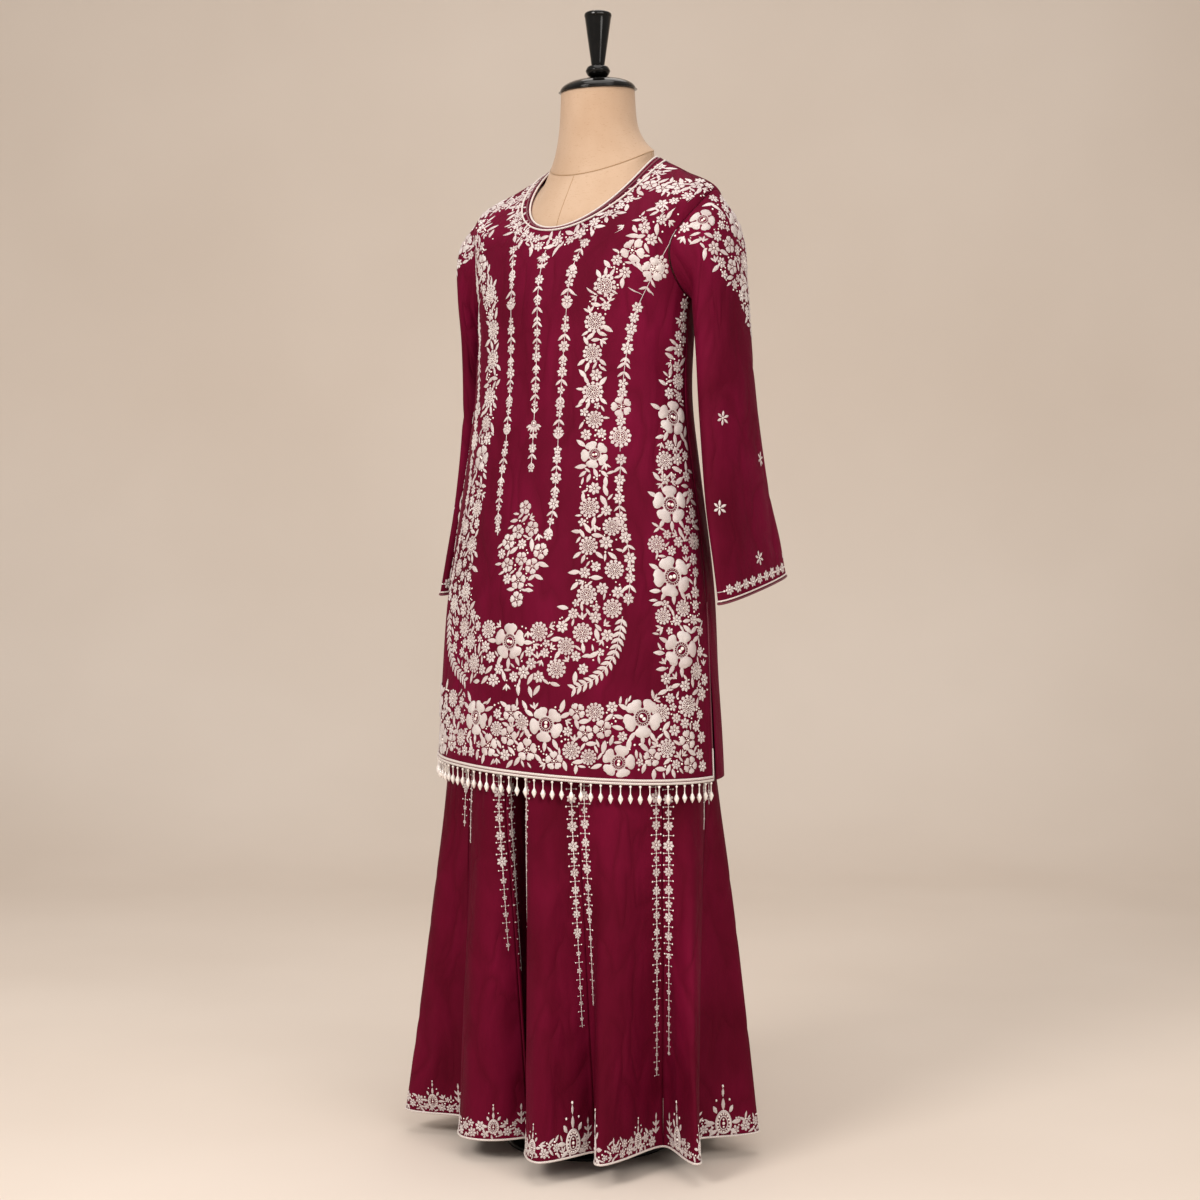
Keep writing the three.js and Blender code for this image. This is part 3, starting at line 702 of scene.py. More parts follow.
def shell(name, cloth, material, slot, nodes, sheer=None, thickness=CLOTH_THICKNESS):
    """The cloth as a thin closed shell. Its pattern starts elsewhere on the weave than the
    other pieces' do, as pieces cut from one length do, and sheer gives where it looks paler."""
    rows, columns = cloth.rows, cloth.columns
    outer = cloth.points + cloth.normals * thickness / 2
    inner = cloth.points - cloth.normals * thickness / 2
    positions = np.concatenate([outer.reshape(-1, 3), inner.reshape(-1, 3)])
    size = rows * columns
    faces = [grid_faces(rows, columns, cloth.ring),
             grid_faces(rows, columns, cloth.ring, size, True)]
    i = np.arange(columns if cloth.ring else columns - 1)
    right, top = (i + 1) % columns, (rows - 1) * columns
    faces.append(np.stack([right, i, i + size, right + size], -1))
    faces.append(np.stack([top + i, top + right, top + right + size, top + i + size], -1))
    if not cloth.ring:
        j = np.arange(rows - 1) * columns
        last = columns - 1
        faces.append(np.stack([j, j + columns, j + columns + size, j + size], -1))
        faces.append(np.stack([j + last + columns, j + last, j + last + size,
                               j + last + columns + size], -1))
    uv = np.stack([cloth.s, np.broadcast_to(cloth.h[:, None], cloth.s.shape)], -1).reshape(-1, 2)
    uv = uv + PATTERN_STEP * len(CLOTH_PIECES)
    obj = build(name, positions, np.concatenate(faces), np.concatenate([uv, uv]), [material])
    CLOTH_PIECES.append(obj)
    if sheer is not None:
        attribute = obj.data.attributes.new("sheer", "FLOAT", "POINT")
        amount = sheer(cloth.s, np.broadcast_to(cloth.h[:, None], cloth.s.shape)).ravel()
        attribute.data.foreach_set("value", np.concatenate([amount, amount]).astype(np.float32))
    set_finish(obj, slot)
    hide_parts(*nodes)
    return obj


# %% Cords and turned bodies
def tube(name, paths, radius, material, slot, nodes=(), around=8, closed=False):
    """Round cords along paths of points."""
    positions, faces, uvs = [], [], []
    for path in paths:
        path = np.asarray(path)
        if closed:
            ahead, behind = np.roll(path, -1, 0), np.roll(path, 1, 0)
            tangent = unit(ahead - behind)
        else:
            tangent = unit(np.gradient(path, axis=0))
        side = unit(np.cross(tangent, np.where(np.abs(tangent[:, 2:]) > 0.9, (0, 1, 0), (0, 0, 1))))
        up = np.cross(side, tangent)
        turns = np.arange(around) / around * TAU
        ring = (side[:, None] * np.cos(turns)[:, None] + up[:, None] * np.sin(turns)[:, None]) * radius
        start = sum(len(p) for p in positions)
        positions.append((path[:, None] + ring).reshape(-1, 3))
        count = len(path)
        quads = grid_faces(count + closed, around, True, 0, True)
        faces += (quads % (count * around) + start).tolist()
        if not closed:
            faces += [[start + k for k in range(around)],
                      [start + (count - 1) * around + k for k in reversed(range(around))]]
        run = np.pad(np.cumsum(np.linalg.norm(np.diff(path, axis=0), axis=-1)), (1, 0))
        uvs.append(np.stack(np.broadcast_arrays(turns[None] * radius, run[:, None]), -1).reshape(-1, 2))
    obj = build(name, np.concatenate(positions), faces, np.concatenate(uvs), [material])
    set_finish(obj, slot)
    if nodes:
        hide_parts(*nodes)
    return obj


def swept(profile, around, offset, tilt=0.0):
    """A body turned from pairs of radius and height about the vertical axis."""
    profile = np.array(profile, float)
    turns = np.arange(around) / around * TAU
    ring = np.stack([profile[:, :1] * np.cos(turns), profile[:, :1] * np.sin(turns),
                     np.broadcast_to(profile[:, 1:], (len(profile), around))], -1)
    lean = math.radians(tilt)
    y = ring[..., 1] * math.cos(lean) - ring[..., 2] * math.sin(lean)
    z = ring[..., 1] * math.sin(lean) + ring[..., 2] * math.cos(lean)
    return MM * np.stack([ring[..., 0], y, z], -1) + offset


def solid(name, rings, material, slot, node):
    """A closed body through rows of rings, closed by a fan at each end."""
    rows, around, _ = rings.shape
    positions = np.concatenate([rings.reshape(-1, 3), [rings[0].mean(0), rings[-1].mean(0)]])
    faces = grid_faces(rows, around, True).tolist()
    for i in range(around):
        right, top = (i + 1) % around, (rows - 1) * around
        faces += [[right, i, rows * around], [top + i, top + right, rows * around + 1]]
    obj = build(name, positions, faces, None, [material])
    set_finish(obj, slot)
    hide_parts(node)
    return obj


def rounded(profile, count=5):
    """A profile with smooth curves between its points."""
    profile = np.array(profile, float)
    return at_level(profile, np.linspace(0, len(profile) - 1, (len(profile) - 1) * count + 1))


# %% [markdown]
# ## The form and its stand
# A tailor's form is a padded torso under a tight cover, cut off at the neck by a cap with a handle.
# The torso and neck follow their own rings, a little inside the kameez's. The cap and handle are
# turned on a lathe, so each is a profile spun round the vertical, with a few curve points for each
# round. The pole and base stand under the legs, where hardly any of them shows.

# %% Torso, neck, cap, handle and stand
def form_rings(rings, levels, around):
    v, u = np.meshgrid(levels, np.arange(around) / around * 360, indexing="ij")
    return ring_point(rings, u, v)


AXIS = np.array([0, AXIS_Y, 0])
POLE_AT = np.array([0, AXIS_Y - 20 * MM, 0])
CAP_BASE, CAP_HEIGHT = 1489.2, 19

solid("torso", form_rings(FORM, np.linspace(0, 10, 61), 112), COTTON, "form_cloth", "form_torso")
neck_rings = form_rings(FORM_NECK, np.linspace(0, 3, 31), 112) + (0, 0, SEAM * MM)
solid("neck", neck_rings, COTTON, "form_cloth", "form_neck")
solid("cap", swept(rounded([
    (0.2, 0), (52, 0), (53.6, 1.5), (53.6, 4), (50, 8.5), (42, 13), (30, 16.5), (15, 18.4),
    (0.2, CAP_HEIGHT)]), 96, AXIS + (0, 0, CAP_BASE * MM), 5), LACQUER, "black_lacquer", "neck_cap")
solid("handle", swept(rounded([
    (0.2, 0), (8, 0), (14, 2.5), (17.2, 8), (17.2, 10.5), (14.5, 15), (9.6, 17.4), (9.6, 19),
    (12.2, 38), (15.6, 62), (18.6, 84), (19.5, 88), (18.6, 91.5), (14, 93.6), (7, 94.6),
    (0.2, 95)]), 72, AXIS + (0, 0, (CAP_BASE + CAP_HEIGHT + 0.8) * MM)),
    LACQUER, "black_lacquer", "cap_handle")
solid("pole", swept([(12, 12.3), (12.5, 13), (12.5, 799), (12, 799.7)], 48, POLE_AT),
      BLACK_METAL, "black_metal", "stand_pole")
solid("base", swept([(117, 0), (118, 1), (118, 3.5), (117, 5), (114, 8), (75, 10.3), (30, 12),
                     (14, 12)], 96, POLE_AT), BLACK_METAL, "black_metal", "stand_base")


# %% The cover's seams, half sunk in it
foot = ring_point(FORM_NECK, np.linspace(0, 360, 121)[:-1], np.full(120, 0.02))
tube("neck_seam", [foot], 0.7 * MM, SEAM_THREAD, "form_cloth", closed=True, around=6)
form_seams = [ring_point(FORM, np.full(60, turn), np.linspace(low, 9.98, 60))
              for turn, low in ((0.0, 7), (90.0, 8.4), (270.0, 8.4))]
tube("form_seams", form_seams, 0.45 * MM, SEAM_THREAD, "form_cloth", around=6)
print("form pieces:", len(bpy.data.meshes))


# %% [markdown]
# ## The kameez
# The front and back panels hang from the shoulders and are slit at the sides up to the hip. Upright
# flutes run up from the hem, and short drag lines pull slantwise across the waist and towards the
# armholes. Each fold gives its start and end in cm across and up, its depth in mm, its width in cm,
# and where wanted how far it bends, in cm.

# %% Kameez panels
FRONT_FOLDS = [
    ((-3, 1), (-5, 26), 2.6, 1.8, 0.6), ((9, 0), (8, 21), -2.4, 1.6, -0.4),
    ((14, 0), (15.5, 30), 2.2, 2.0, 0.5), ((21, 0), (20, 17), -2.6, 1.3, 0.3),
    ((25, 0), (26, 24), 2.2, 1.5), ((-11, 0), (-10, 24), -2.2, 1.7, 0.5),
    ((-18, 0), (-17, 30), 2.4, 1.8, -0.5), ((-24, 0), (-24, 18), -2.2, 1.4),
    ((7, 33), (16, 40), -1.4, 1.1, 0.8), ((-7, 36), (-17, 41), -1.3, 1.0, -0.7),
    ((3, 43), (14, 47), -1.2, 0.9, 0.5), ((-2, 44), (-12, 47.5), -1.2, 0.9, -0.5),
    ((11, 49), (20, 45), 1.1, 1.0, 0.4), ((-11, 50), (-19, 45), 1.1, 1.0, -0.4),
    ((4, 24), (12, 35), -1.2, 1.2, 0.6), ((-5, 22), (-9, 33), -1.0, 1.1, -0.4),
    ((19, 60), (15, 68), -1.6, 1.0, 0.3), ((-19, 60), (-15, 68), -1.6, 1.0, -0.3),
    ((21, 57), (12, 62), -1.3, 0.9, 0.4), ((-21, 57), (-12, 62), -1.3, 0.9, -0.4),
    ((17, 18), (11, 26), -1.0, 1.0), ((22.5, 22), (20, 48), -1.0, 1.4, 0.4),
]
BACK_FOLDS = [
    ((-4, 0), (-3, 30), -3.0, 2.0, 0.5), ((6, 0), (5, 34), 2.8, 2.0, -0.6),
    ((13, 0), (12, 25), -2.6, 1.6, 0.4), ((-12, 0), (-13, 26), 2.8, 1.9, 0.5),
    ((-19, 0), (-18, 20), -2.4, 1.5), ((19, 0), (18, 22), 2.2, 1.5),
    ((-10, 46), (9, 50), -1.8, 1.2, 0.8), ((9, 44), (-6, 47), -1.5, 1.0, -0.8),
    ((-14, 52), (-2, 55), -1.2, 1.0, 0.5), ((15, 60), (6, 69), -1.6, 1.2, 0.4),
    ((-15, 60), (-7, 70), -1.5, 1.2, -0.4),
]
front = Cloth(front_point, np.linspace(-1, 1, 133), np.linspace(0, 10, 201),
              folds(FRONT_FOLDS) + [undulation(11, 0.8)])
back = Cloth(back_point, np.linspace(-1, 1, 97), np.linspace(0, 10, 161),
             folds(BACK_FOLDS) + [undulation(12, 1.0)])
kameez_front = shell("kameez_front_cloth", front, GEORGETTE, "georgette", ["kameez_front"])
kameez_back = shell("kameez_back_cloth", back, GEORGETTE, "georgette", ["kameez_back"])
print(f"kameez front: {np.ptp(front.s[0]):.2f} m wide at the hem, {front.h[-1]:.2f} m up the middle")

# %% [markdown]
# ### Sleeves
# A bell sleeve is a tube of cloth with nothing in it here, so it flattens, hangs a little back and
# creases slantwise above and below the elbow. Each is one ring-shaped cloth, measured up from the
# cuff, with its seam at the grid's ends.

# %% Sleeves
LEFT_SLEEVE_FOLDS = [
    ((7, 18), (14, 30), -2.6, 0.8, 0.6), ((5, 26), (13, 21), -2.2, 0.7, 0.5),
    ((6, 12), (12, 17), -2.0, 0.8, -0.4), ((3, 34), (9, 27), -1.8, 0.8, 0.4),
    ((8, 36), (12, 44), 1.8, 0.9, 0.3), ((2, 8), (7, 4), -1.6, 0.9),
    ((10, 2), (9, 14), 1.8, 1.1, 0.5), ((4, 2), (5, 16), -1.6, 1.0, -0.4),
    ((-5, 3), (-4, 20), 1.6, 1.2), ((-8, 24), (-3, 30), -1.8, 0.9, 0.4),
    ((-9, 34), (-4, 39), -1.6, 0.9, -0.4), ((1, 22), (6, 14), -1.4, 0.8, 0.4),
    ((4, 44), (10, 48), -1.8, 0.9, 0.4),
]
RIGHT_SLEEVE_FOLDS = [
    ((-7, 17), (-13, 28), -2.4, 0.9, 0.5), ((-4, 25), (-12, 20), -2.0, 0.8, 0.4),
    ((-3, 33), (-9, 27), -1.8, 0.8), ((5, 3), (4, 18), 1.8, 1.2), ((-9, 2), (-8, 15), 1.6, 1.1),
    ((8, 24), (3, 31), -1.8, 0.9, 0.4), ((-8, 38), (-12, 45), 1.6, 0.9),
]


def cuff_up(base):
    """The same surface with v rising from the cuff to the armhole."""
    return lambda u, v: base(-u, 7 - v)


def back_edge(s, h):
    """How much paler the single layer along a sleeve's back shows, in its lower half."""
    beside = np.clip(1 - np.abs(s - 0.085) / 0.02, 0, 1)
    return 0.5 * beside * np.clip((0.28 - h) / 0.1, 0, 1)


sleeve_turns = np.arange(96) / 96 * 360 - 180
sleeve_levels = np.linspace(0, 7, 121)
left_sleeve, right_sleeve = [
    Cloth(cuff_up(sleeve_point(sections, side)), sleeve_turns, sleeve_levels,
          folds(creases) + [undulation(seed, 1.0)], middle=48, ring=True)
    for sections, side, creases, seed in ((LEFT_SLEEVE, 1, LEFT_SLEEVE_FOLDS, 21),
                                          (RIGHT_SLEEVE, -1, RIGHT_SLEEVE_FOLDS, 22))]
sleeve_pieces = {
    "left": shell("sleeve_left_cloth", left_sleeve, GEORGETTE, "georgette", ["sleeve_left"],
                  sheer=back_edge),
    "right": shell("sleeve_right_cloth", right_sleeve, GEORGETTE, "georgette", ["sleeve_right"]),
}
print(f"left sleeve: {np.ptp(left_sleeve.s[0]):.2f} m round the cuff, {left_sleeve.h[-1]:.2f} m up")

# %% [markdown]
# ### Sharara
# A sharara is a pair of very wide trousers cut in gores, panels that widen to the hem and so fall
# in flutes. One surface with an extra pattern could stand for a leg, but separate gores keep the
# real seams. Each gore is a cloth between two of the leg outline's points, with long folds that run
# up from the hem and die out, and a few short wrinkles across them.

# %% Gores
GORE_FOLDS = [
    [((-3, 2), (-1.5, 40), 2.0, 1.3, 0.5), ((3.5, 0), (1.5, 34), -2.2, 1.2, -0.4),
     ((0.5, 20), (2, 62), 1.4, 1.2, 0.4), ((-2, 44), (3, 52), -1.2, 0.8, 0.3)],
    [((-4, 0), (-2.2, 44), -2.4, 1.3, 0.5), ((2, 3), (1, 50), 2.0, 1.5, -0.5),
     ((5, 0), (3.4, 26), 2.2, 1.1), ((-3, 50), (2, 58), -1.2, 0.8, 0.3),
     ((0, 8), (3, 17), -1.4, 0.7, 0.3)],
    [((-5, 0), (-2.6, 36), 2.2, 1.3, -0.4), ((1, 0), (0.4, 30), -2.2, 1.4, 0.4),
     ((4.6, 2), (2.6, 48), 1.8, 1.2, 0.3), ((-1, 38), (1, 66), 1.3, 1.2, 0.3)],
    [((-4.5, 0), (-2.4, 30), -2.2, 1.2, 0.3), ((0, 0), (-0.4, 52), 2.0, 1.5, 0.5),
     ((5, 1), (3, 38), -2.0, 1.2, -0.3), ((-2, 46), (2, 54), -1.1, 0.8, 0.2)],
    [((-4, 0), (-2, 42), 2.4, 1.4, 0.4), ((2.5, 0), (1.2, 30), -2.2, 1.2, 0.3),
     ((5, 0), (3, 50), 1.8, 1.2, -0.3)],
    [((-9, 0), (-5, 40), 2.0, 1.8, 0.5), ((3, 0), (2, 46), -2.2, 1.8, 0.4),
     ((11, 0), (7, 30), 2.0, 1.6, -0.4)],
]
WRINKLES = [
    ((-2.5, 30), (0.5, 36), -0.9, 0.5, 0.3), ((1.5, 24), (-0.5, 29), -0.8, 0.5, -0.2),
    ((-1, 12), (2, 17), -0.9, 0.5, 0.2), ((2.4, 40), (0, 45), -0.7, 0.5, 0.2),
]
SEAM_GAP = 0.004      # left free beside each seam, counted in the outline's points
gores, gore_pieces = {}, {}
for side_name, side, outline in (("left", 1, LEFT_LEG), ("right", -1, RIGHT_LEG)):
    for number, (first, last) in enumerate(GORES):
        wide = last - first > 2
        around = np.linspace(first + SEAM_GAP, last - SEAM_GAP, 61 if wide else 33)
        seed = 31 + number + (7 if side > 0 else 0)
        creases = folds(GORE_FOLDS[number] + WRINKLES) + [undulation(seed, 0.7)]
        cloth = Cloth(leg_point(outline, side), around if side > 0 else around[::-1],
                      np.linspace(0, CROTCH, 109), creases)
        name = f"gore_{side_name}_{number + 1}"
        gores[side_name, number] = cloth
        gore_pieces[side_name, number] = shell(name + "_cloth", cloth, LEG_GEORGETTE, "georgette",
                                               [name])
print("gores:", len(gores))

# %% Yoke and waistband, under the kameez
WAIST_TOP, BAND_HEIGHT = 985, 30
YOKE_LOW, YOKE_HIGH = 745.3, 954.7


def yoke_point(u, v):
    """The sharara's smooth upper part, from the gores up to the waistband."""
    share = np.clip((v - YOKE_LOW) / (YOKE_HIGH - YOKE_LOW), 0, 1)
    turn = np.radians(u)
    return MM * np.stack([(172 - 16 * share) * np.sin(turn),
                          -38 - (128 - 19 * share) * np.cos(turn), v + 0 * u], -1) + AXIS


for name, first, last, seed in (("yoke_front", -89.9, 89.9, 51), ("yoke_back", 90.1, 269.9, 52)):
    cloth = Cloth(yoke_point, np.linspace(first, last, 49), np.linspace(YOKE_LOW, YOKE_HIGH, 31),
                  [undulation(seed, 0.3)])
    piece = shell(name + "_cloth", cloth, LEG_GEORGETTE, "georgette", [name])
band = Cloth(yoke_point, np.arange(96) / 96 * 360,
             np.linspace(WAIST_TOP - BAND_HEIGHT, WAIST_TOP, 13), middle=0, ring=True)
waistband = shell("waistband_cloth", band, LEG_GEORGETTE, "georgette", ["waistband"],
                  thickness=2 * CLOTH_THICKNESS)
print("cloth pieces:", len(CLOTH_PIECES))


# %% [markdown]
# ## Motifs
# The embroidery repeats a dozen small motifs in padded satin stitch: roses, daisies, leaves, rings
# of beads. Each is made once, flat round its own origin, +Y towards its tip, and rising a little in
# +Z. Petals are small domed grids of few faces, because hundreds of them are sewn on. Sizes are in
# mm.

# %% Petals, beads and rings
SUNK = 0.1      # mm that each part's rim lies under the cloth's face


class Motif:
    """A small flat-laid mesh gathered from petals, beads and rings."""

    def __init__(self):
        self.positions, self.faces, self.uvs = [], [], []

    def grid(self, points, uvs, rows, columns, ring=False):
        """Takes in a grid of points, from which the other parts are made."""
        start = len(self.positions)
        self.faces += grid_faces(rows, columns, ring, start).tolist()
        self.positions += points.reshape(-1, 3).tolist()
        self.uvs += uvs.reshape(-1, 2).tolist()
        return self

    def petal(self, length, width, height, start=0.0, turn=0.0, widest=0.5, notch=0.0,
              along=5, across=4, full=0.75, z=0.0, foot=0.02):
        """A padded petal or leaf in mm, from start outwards."""
        a, b = np.meshgrid(np.linspace(0, 1, along + 1), np.linspace(-1, 1, across + 1),
                           indexing="ij")
        power = math.log(0.5) / math.log(widest)
        half = width / 2 * np.sin(np.pi * np.clip(a, foot, 0.98) ** power) ** full
        px = b * half
        py = start + length * a + notch * (b**2 - 0.5) * a**3
        dome = np.sqrt(np.clip(1 - b**2, 0, 1)) * np.sin(np.pi * (0.06 + 0.88 * a)) ** 0.5
        pz = z + height * dome - SUNK
        c, s = math.cos(turn), math.sin(turn)
        points = np.stack([px * c - py * s, px * s + py * c, pz], -1) * MM
        return self.grid(points[:, ::-1], np.stack([px, py], -1)[:, ::-1] * MM, along + 1, across + 1)

    def bead(self, radius, x=0.0, y=0.0, z=0.0, around=6, rise=0.8):
        """A bead's upper half."""
        rings = []
        for tilt in (0.0, 0.75, 1.25):
            turn = np.arange(around) / around * TAU
            rings.append(np.stack([x + radius * math.cos(tilt) * np.cos(turn),
                                   y + radius * math.cos(tilt) * np.sin(turn),
                                   np.full(around, z + rise * radius * math.sin(tilt) - SUNK)], -1))
        start = len(self.positions)
        points = np.concatenate(rings) * MM
        self.grid(points, points[:, :2], 3, around, True)
        self.faces.append([start + 2 * around + k for k in range(around)])
        return self

    def hoop(self, radius, thick, around=20, height=0.7, tall=1.0):
        """A couched ring of thread, or an oval one if it is tall."""
        turn = np.arange(around) / around * TAU
        rows = []
        for share, z in ((1, -SUNK), (0.5, height), (-0.5, height), (-1, -SUNK)):
            offset = share * thick
            rows.append(np.stack([(radius + offset) * np.cos(turn),
                                  (radius * tall + offset) * np.sin(turn), np.full(around, z)], -1))
        points = np.stack(rows) * MM
        uvs = np.stack(np.broadcast_arrays(np.arange(4)[:, None] * MM * 0.6,
                                           turn[None] * radius * MM), -1)
        return self.grid(points, uvs, 4, around, True)

    def object(self, name, material):
        """The motif as an object that Geometry Nodes can set."""
        mesh = bpy.data.meshes.new(name)
        mesh.from_pydata(self.positions, [], self.faces)
        layer = mesh.uv_layers.new(name="metres")
        loops = np.empty(len(mesh.loops), np.int32)
        mesh.loops.foreach_get("vertex_index", loops)
        layer.data.foreach_set("uv", np.array(self.uvs, np.float32)[loops].ravel())
        mesh.materials.append(material)
        mesh.shade_smooth()
        return bpy.data.objects.new(name, mesh)


# %% The kinds of motif
def round_of(motif, count, **petal):
    """A ring of equal petals."""
    for i in range(count):
        motif.petal(turn=i / count * TAU, **petal)
    return motif


def beads_round(motif, count, at, radius, tall=1.0):
    """A ring of equal beads, or an oval one if it is tall."""
    for i in range(count):
        turn = i / count * TAU
        motif.bead(radius, at * math.cos(turn), tall * at * math.sin(turn))
    return motif


def make_motifs():
    """Each kind's thread and bead objects, and the room that it takes in mm."""
    rose = round_of(Motif(), 5, length=14.5, width=23.0, height=2.6, start=10.4, widest=0.58,
                    full=0.42, foot=0.14, notch=0.9, along=7, across=6)
    rose.hoop(11.0, 0.9, 32, height=1.1).hoop(6.9, 0.5, 24)
    rose_beads = beads_round(Motif(), 18, 9.0, 0.7)
    rose_beads.bead(2.6, -2.5, 0.5, around=8).bead(2.6, 2.5, -0.5, around=8)
    bloom = round_of(Motif(), 5, length=8.4, width=11.4, height=1.4, start=3.9, widest=0.6,
                     full=0.55, notch=1.4, along=5, across=4)
    bloom_beads = beads_round(Motif(), 7, 3.2, 0.8).bead(1.5, 0, 0, around=8)
    disc = round_of(Motif(), 12, length=5.0, width=5.8, height=1.1, start=9.0, widest=0.6, full=0.5,
                    along=3, across=2)
    disc.hoop(8.5, 0.8, 24).hoop(4.4, 0.6, 16)
    disc_beads = beads_round(Motif(), 16, 6.5, 1.05)
    beads_round(disc_beads, 5, 2.5, 1.0).bead(1.4, 0, 0, z=0.2)
    fan = Motif()
    for turn in (-1.15, -0.77, -0.38, 0.0, 0.38, 0.77, 1.15):
        fan.petal(length=9.5, width=4.0, height=1.1, start=4.4, turn=turn, along=4, across=2)
    fan.hoop(3.6, 0.7, 12)
    fan_beads = Motif().bead(2.0, around=8)
    daisy = round_of(Motif(), 7, length=5.8, width=4.4, height=1.1, start=1.5, widest=0.6,
                     full=0.6, along=3, across=2)
    star = round_of(Motif(), 6, length=9.0, width=4.0, height=1.2, start=1.0, widest=0.6,
                    along=4, across=2)
    pip = round_of(Motif(), 5, length=4.4, width=4.0, height=1.0, start=1.0, widest=0.6,
                   full=0.6, along=3, across=2)
    leaf = Motif().petal(15.5, 6.6, 1.2, widest=0.45, along=5, across=2)
    slim = Motif().petal(11.5, 4.2, 1.0, widest=0.45, along=4, across=2)
    bud = Motif().petal(9, 3.8, 1.0, along=3, across=2)
    bud.petal(9.5, 3.4, 0.9, turn=0.75, along=3, across=2)
    bud.petal(9.5, 3.4, 0.9, turn=-0.75, along=3, across=2)
    bar = Motif()
    for side in (-1, 1):
        bar.petal(6.6, 1.2, 0.7, turn=side * math.pi / 2, along=2, across=2)
    bar_beads = Motif().bead(1.4, -7.0, 0).bead(1.4, 7.0, 0).bead(1.2, 0, 0)
    crown = Motif().hoop(8.2, 1.3, 24, tall=1.4).hoop(4.6, 0.7, 18, tall=1.5)
    for turn in (-0.62, 0.0, 0.62):
        crown.petal(10 - 4 * abs(turn), 4.6, 1.1, start=12.5, turn=turn, along=4, across=2)
    crown.petal(7, 3.4, 1.0, start=23.5, along=3, across=2)
    for turn in (-2.3, -1.5, 1.5, 2.3):
        crown.petal(11, 5.2, 1.1, start=9.5, turn=turn, along=4, across=2)
    oval_beads = beads_round(Motif(), 16, 6.4, 1.15, tall=9.2 / 6.4)
    oval_beads.bead(1.8, 0, 0, around=8).bead(1.2, 0, 3.8).bead(1.2, 0, -3.8)
    oval_beads.bead(1.4, 0, 32).bead(1.2, -8, 21).bead(1.2, 8, 21)
    return {
        "rose": (rose, rose_beads, 24.5), "bloom": (bloom, bloom_beads, 11.4),
        "disc": (disc, disc_beads, 13.4), "fan": (fan, fan_beads, 10.0),
        "daisy": (daisy, Motif().bead(1.4), 6.7), "star": (star, Motif().bead(1.5), 8.0),
        "pip": (pip, Motif().bead(1.1), 4.8), "leaf": (leaf, None, 4.4), "slim": (slim, None, 3.0),
        "bud": (bud, Motif().bead(1.1), 4.2), "bead": (None, Motif().bead(1.4), 1.4),
        "bar": (bar, bar_beads, 3.2), "oval": (crown, oval_beads, 12.0),
    }


MOTIFS = {}
for kind, (thread, beads, room) in make_motifs().items():
    MOTIFS[kind] = {
        "thread": thread and thread.object(kind + "_thread", THREAD),
        "beads": beads and beads.object(kind + "_beads", BEADS),
        "room": room * MM,
    }
print("motifs:", *MOTIFS)

# %% [markdown]
# ## Setting motifs with Geometry Nodes
# Placing a thousand flowers one by one is slow, so a node group sets an instance of a motif on
# every point it is given, turned and sized by the point's attributes, and a little varied by a
# seeded random value. Instances are light but don't export, so the tree makes them real and gives
# them their material. The result is laid out flat, and the next step bends it onto the cloth.

# %% The node group
FLAT_STEP = 0.01      # metres of flat layout for each column and row of a cloth's grid


def scatter_group():
    """Instances of a motif, turned and sized by each point's attributes, with a slight
    variation in size, made real and given their material."""
    tree = bpy.data.node_groups.new("Set motifs", "GeometryNodeTree")
    names = [("Places", "NodeSocketGeometry"), ("Motif", "NodeSocketObject"),
             ("Material", "NodeSocketMaterial"), ("Variation", "NodeSocketFloat"),
             ("Seed", "NodeSocketInt")]
    sockets = {name: tree.interface.new_socket(name, in_out="INPUT", socket_type=kind).identifier
               for name, kind in names}
    tree.interface.new_socket("Embroidery", in_out="OUTPUT", socket_type="NodeSocketGeometry")

    def add(kind, **settings):
        node = tree.nodes.new(kind)
        for key, value in settings.items():
            setattr(node, key, value)
        return node

    def find(sockets_of_node, name):
        return next(s for s in sockets_of_node if s.enabled and s.name == name)

    def link(source, out, target, name):
        tree.links.new(find(source.outputs, out), find(target.inputs, name))

    given, result = add("NodeGroupInput"), add("NodeGroupOutput")
    motif = add("GeometryNodeObjectInfo")
    turn = add("GeometryNodeInputNamedAttribute", data_type="FLOAT")
    find(turn.inputs, "Name").default_value = "turn"
    size = add("GeometryNodeInputNamedAttribute", data_type="FLOAT")
    find(size.inputs, "Name").default_value = "size"
    angles = add("ShaderNodeCombineXYZ")
    smallest = add("ShaderNodeMath", operation="SUBTRACT")
    largest = add("ShaderNodeMath", operation="ADD")
    varied = add("FunctionNodeRandomValue", data_type="FLOAT")
    scale = add("ShaderNodeMath", operation="MULTIPLY")
    instances = add("GeometryNodeInstanceOnPoints")
    real = add("GeometryNodeRealizeInstances")
    coloured = add("GeometryNodeSetMaterial")
    for bound in (smallest, largest):
        bound.inputs[0].default_value = 1.0
        tree.links.new(find(given.outputs, "Variation"), bound.inputs[1])
    tree.links.new(find(size.outputs, "Attribute"), scale.inputs[0])
    tree.links.new(find(varied.outputs, "Value"), scale.inputs[1])
    for wire in (
            (given, "Motif", motif, "Object"), (turn, "Attribute", angles, "Z"),
            (smallest, "Value", varied, "Min"), (largest, "Value", varied, "Max"),
            (given, "Seed", varied, "Seed"), (given, "Places", instances, "Points"),
            (motif, "Geometry", instances, "Instance"), (angles, "Vector", instances, "Rotation"),
            (scale, "Value", instances, "Scale"), (instances, "Instances", real, "Geometry"),
            (real, "Geometry", coloured, "Geometry"), (given, "Material", coloured, "Material"),
            (coloured, "Geometry", result, "Embroidery")):
        link(*wire)
    return tree, sockets


SCATTER, SCATTER_INPUTS = scatter_group()


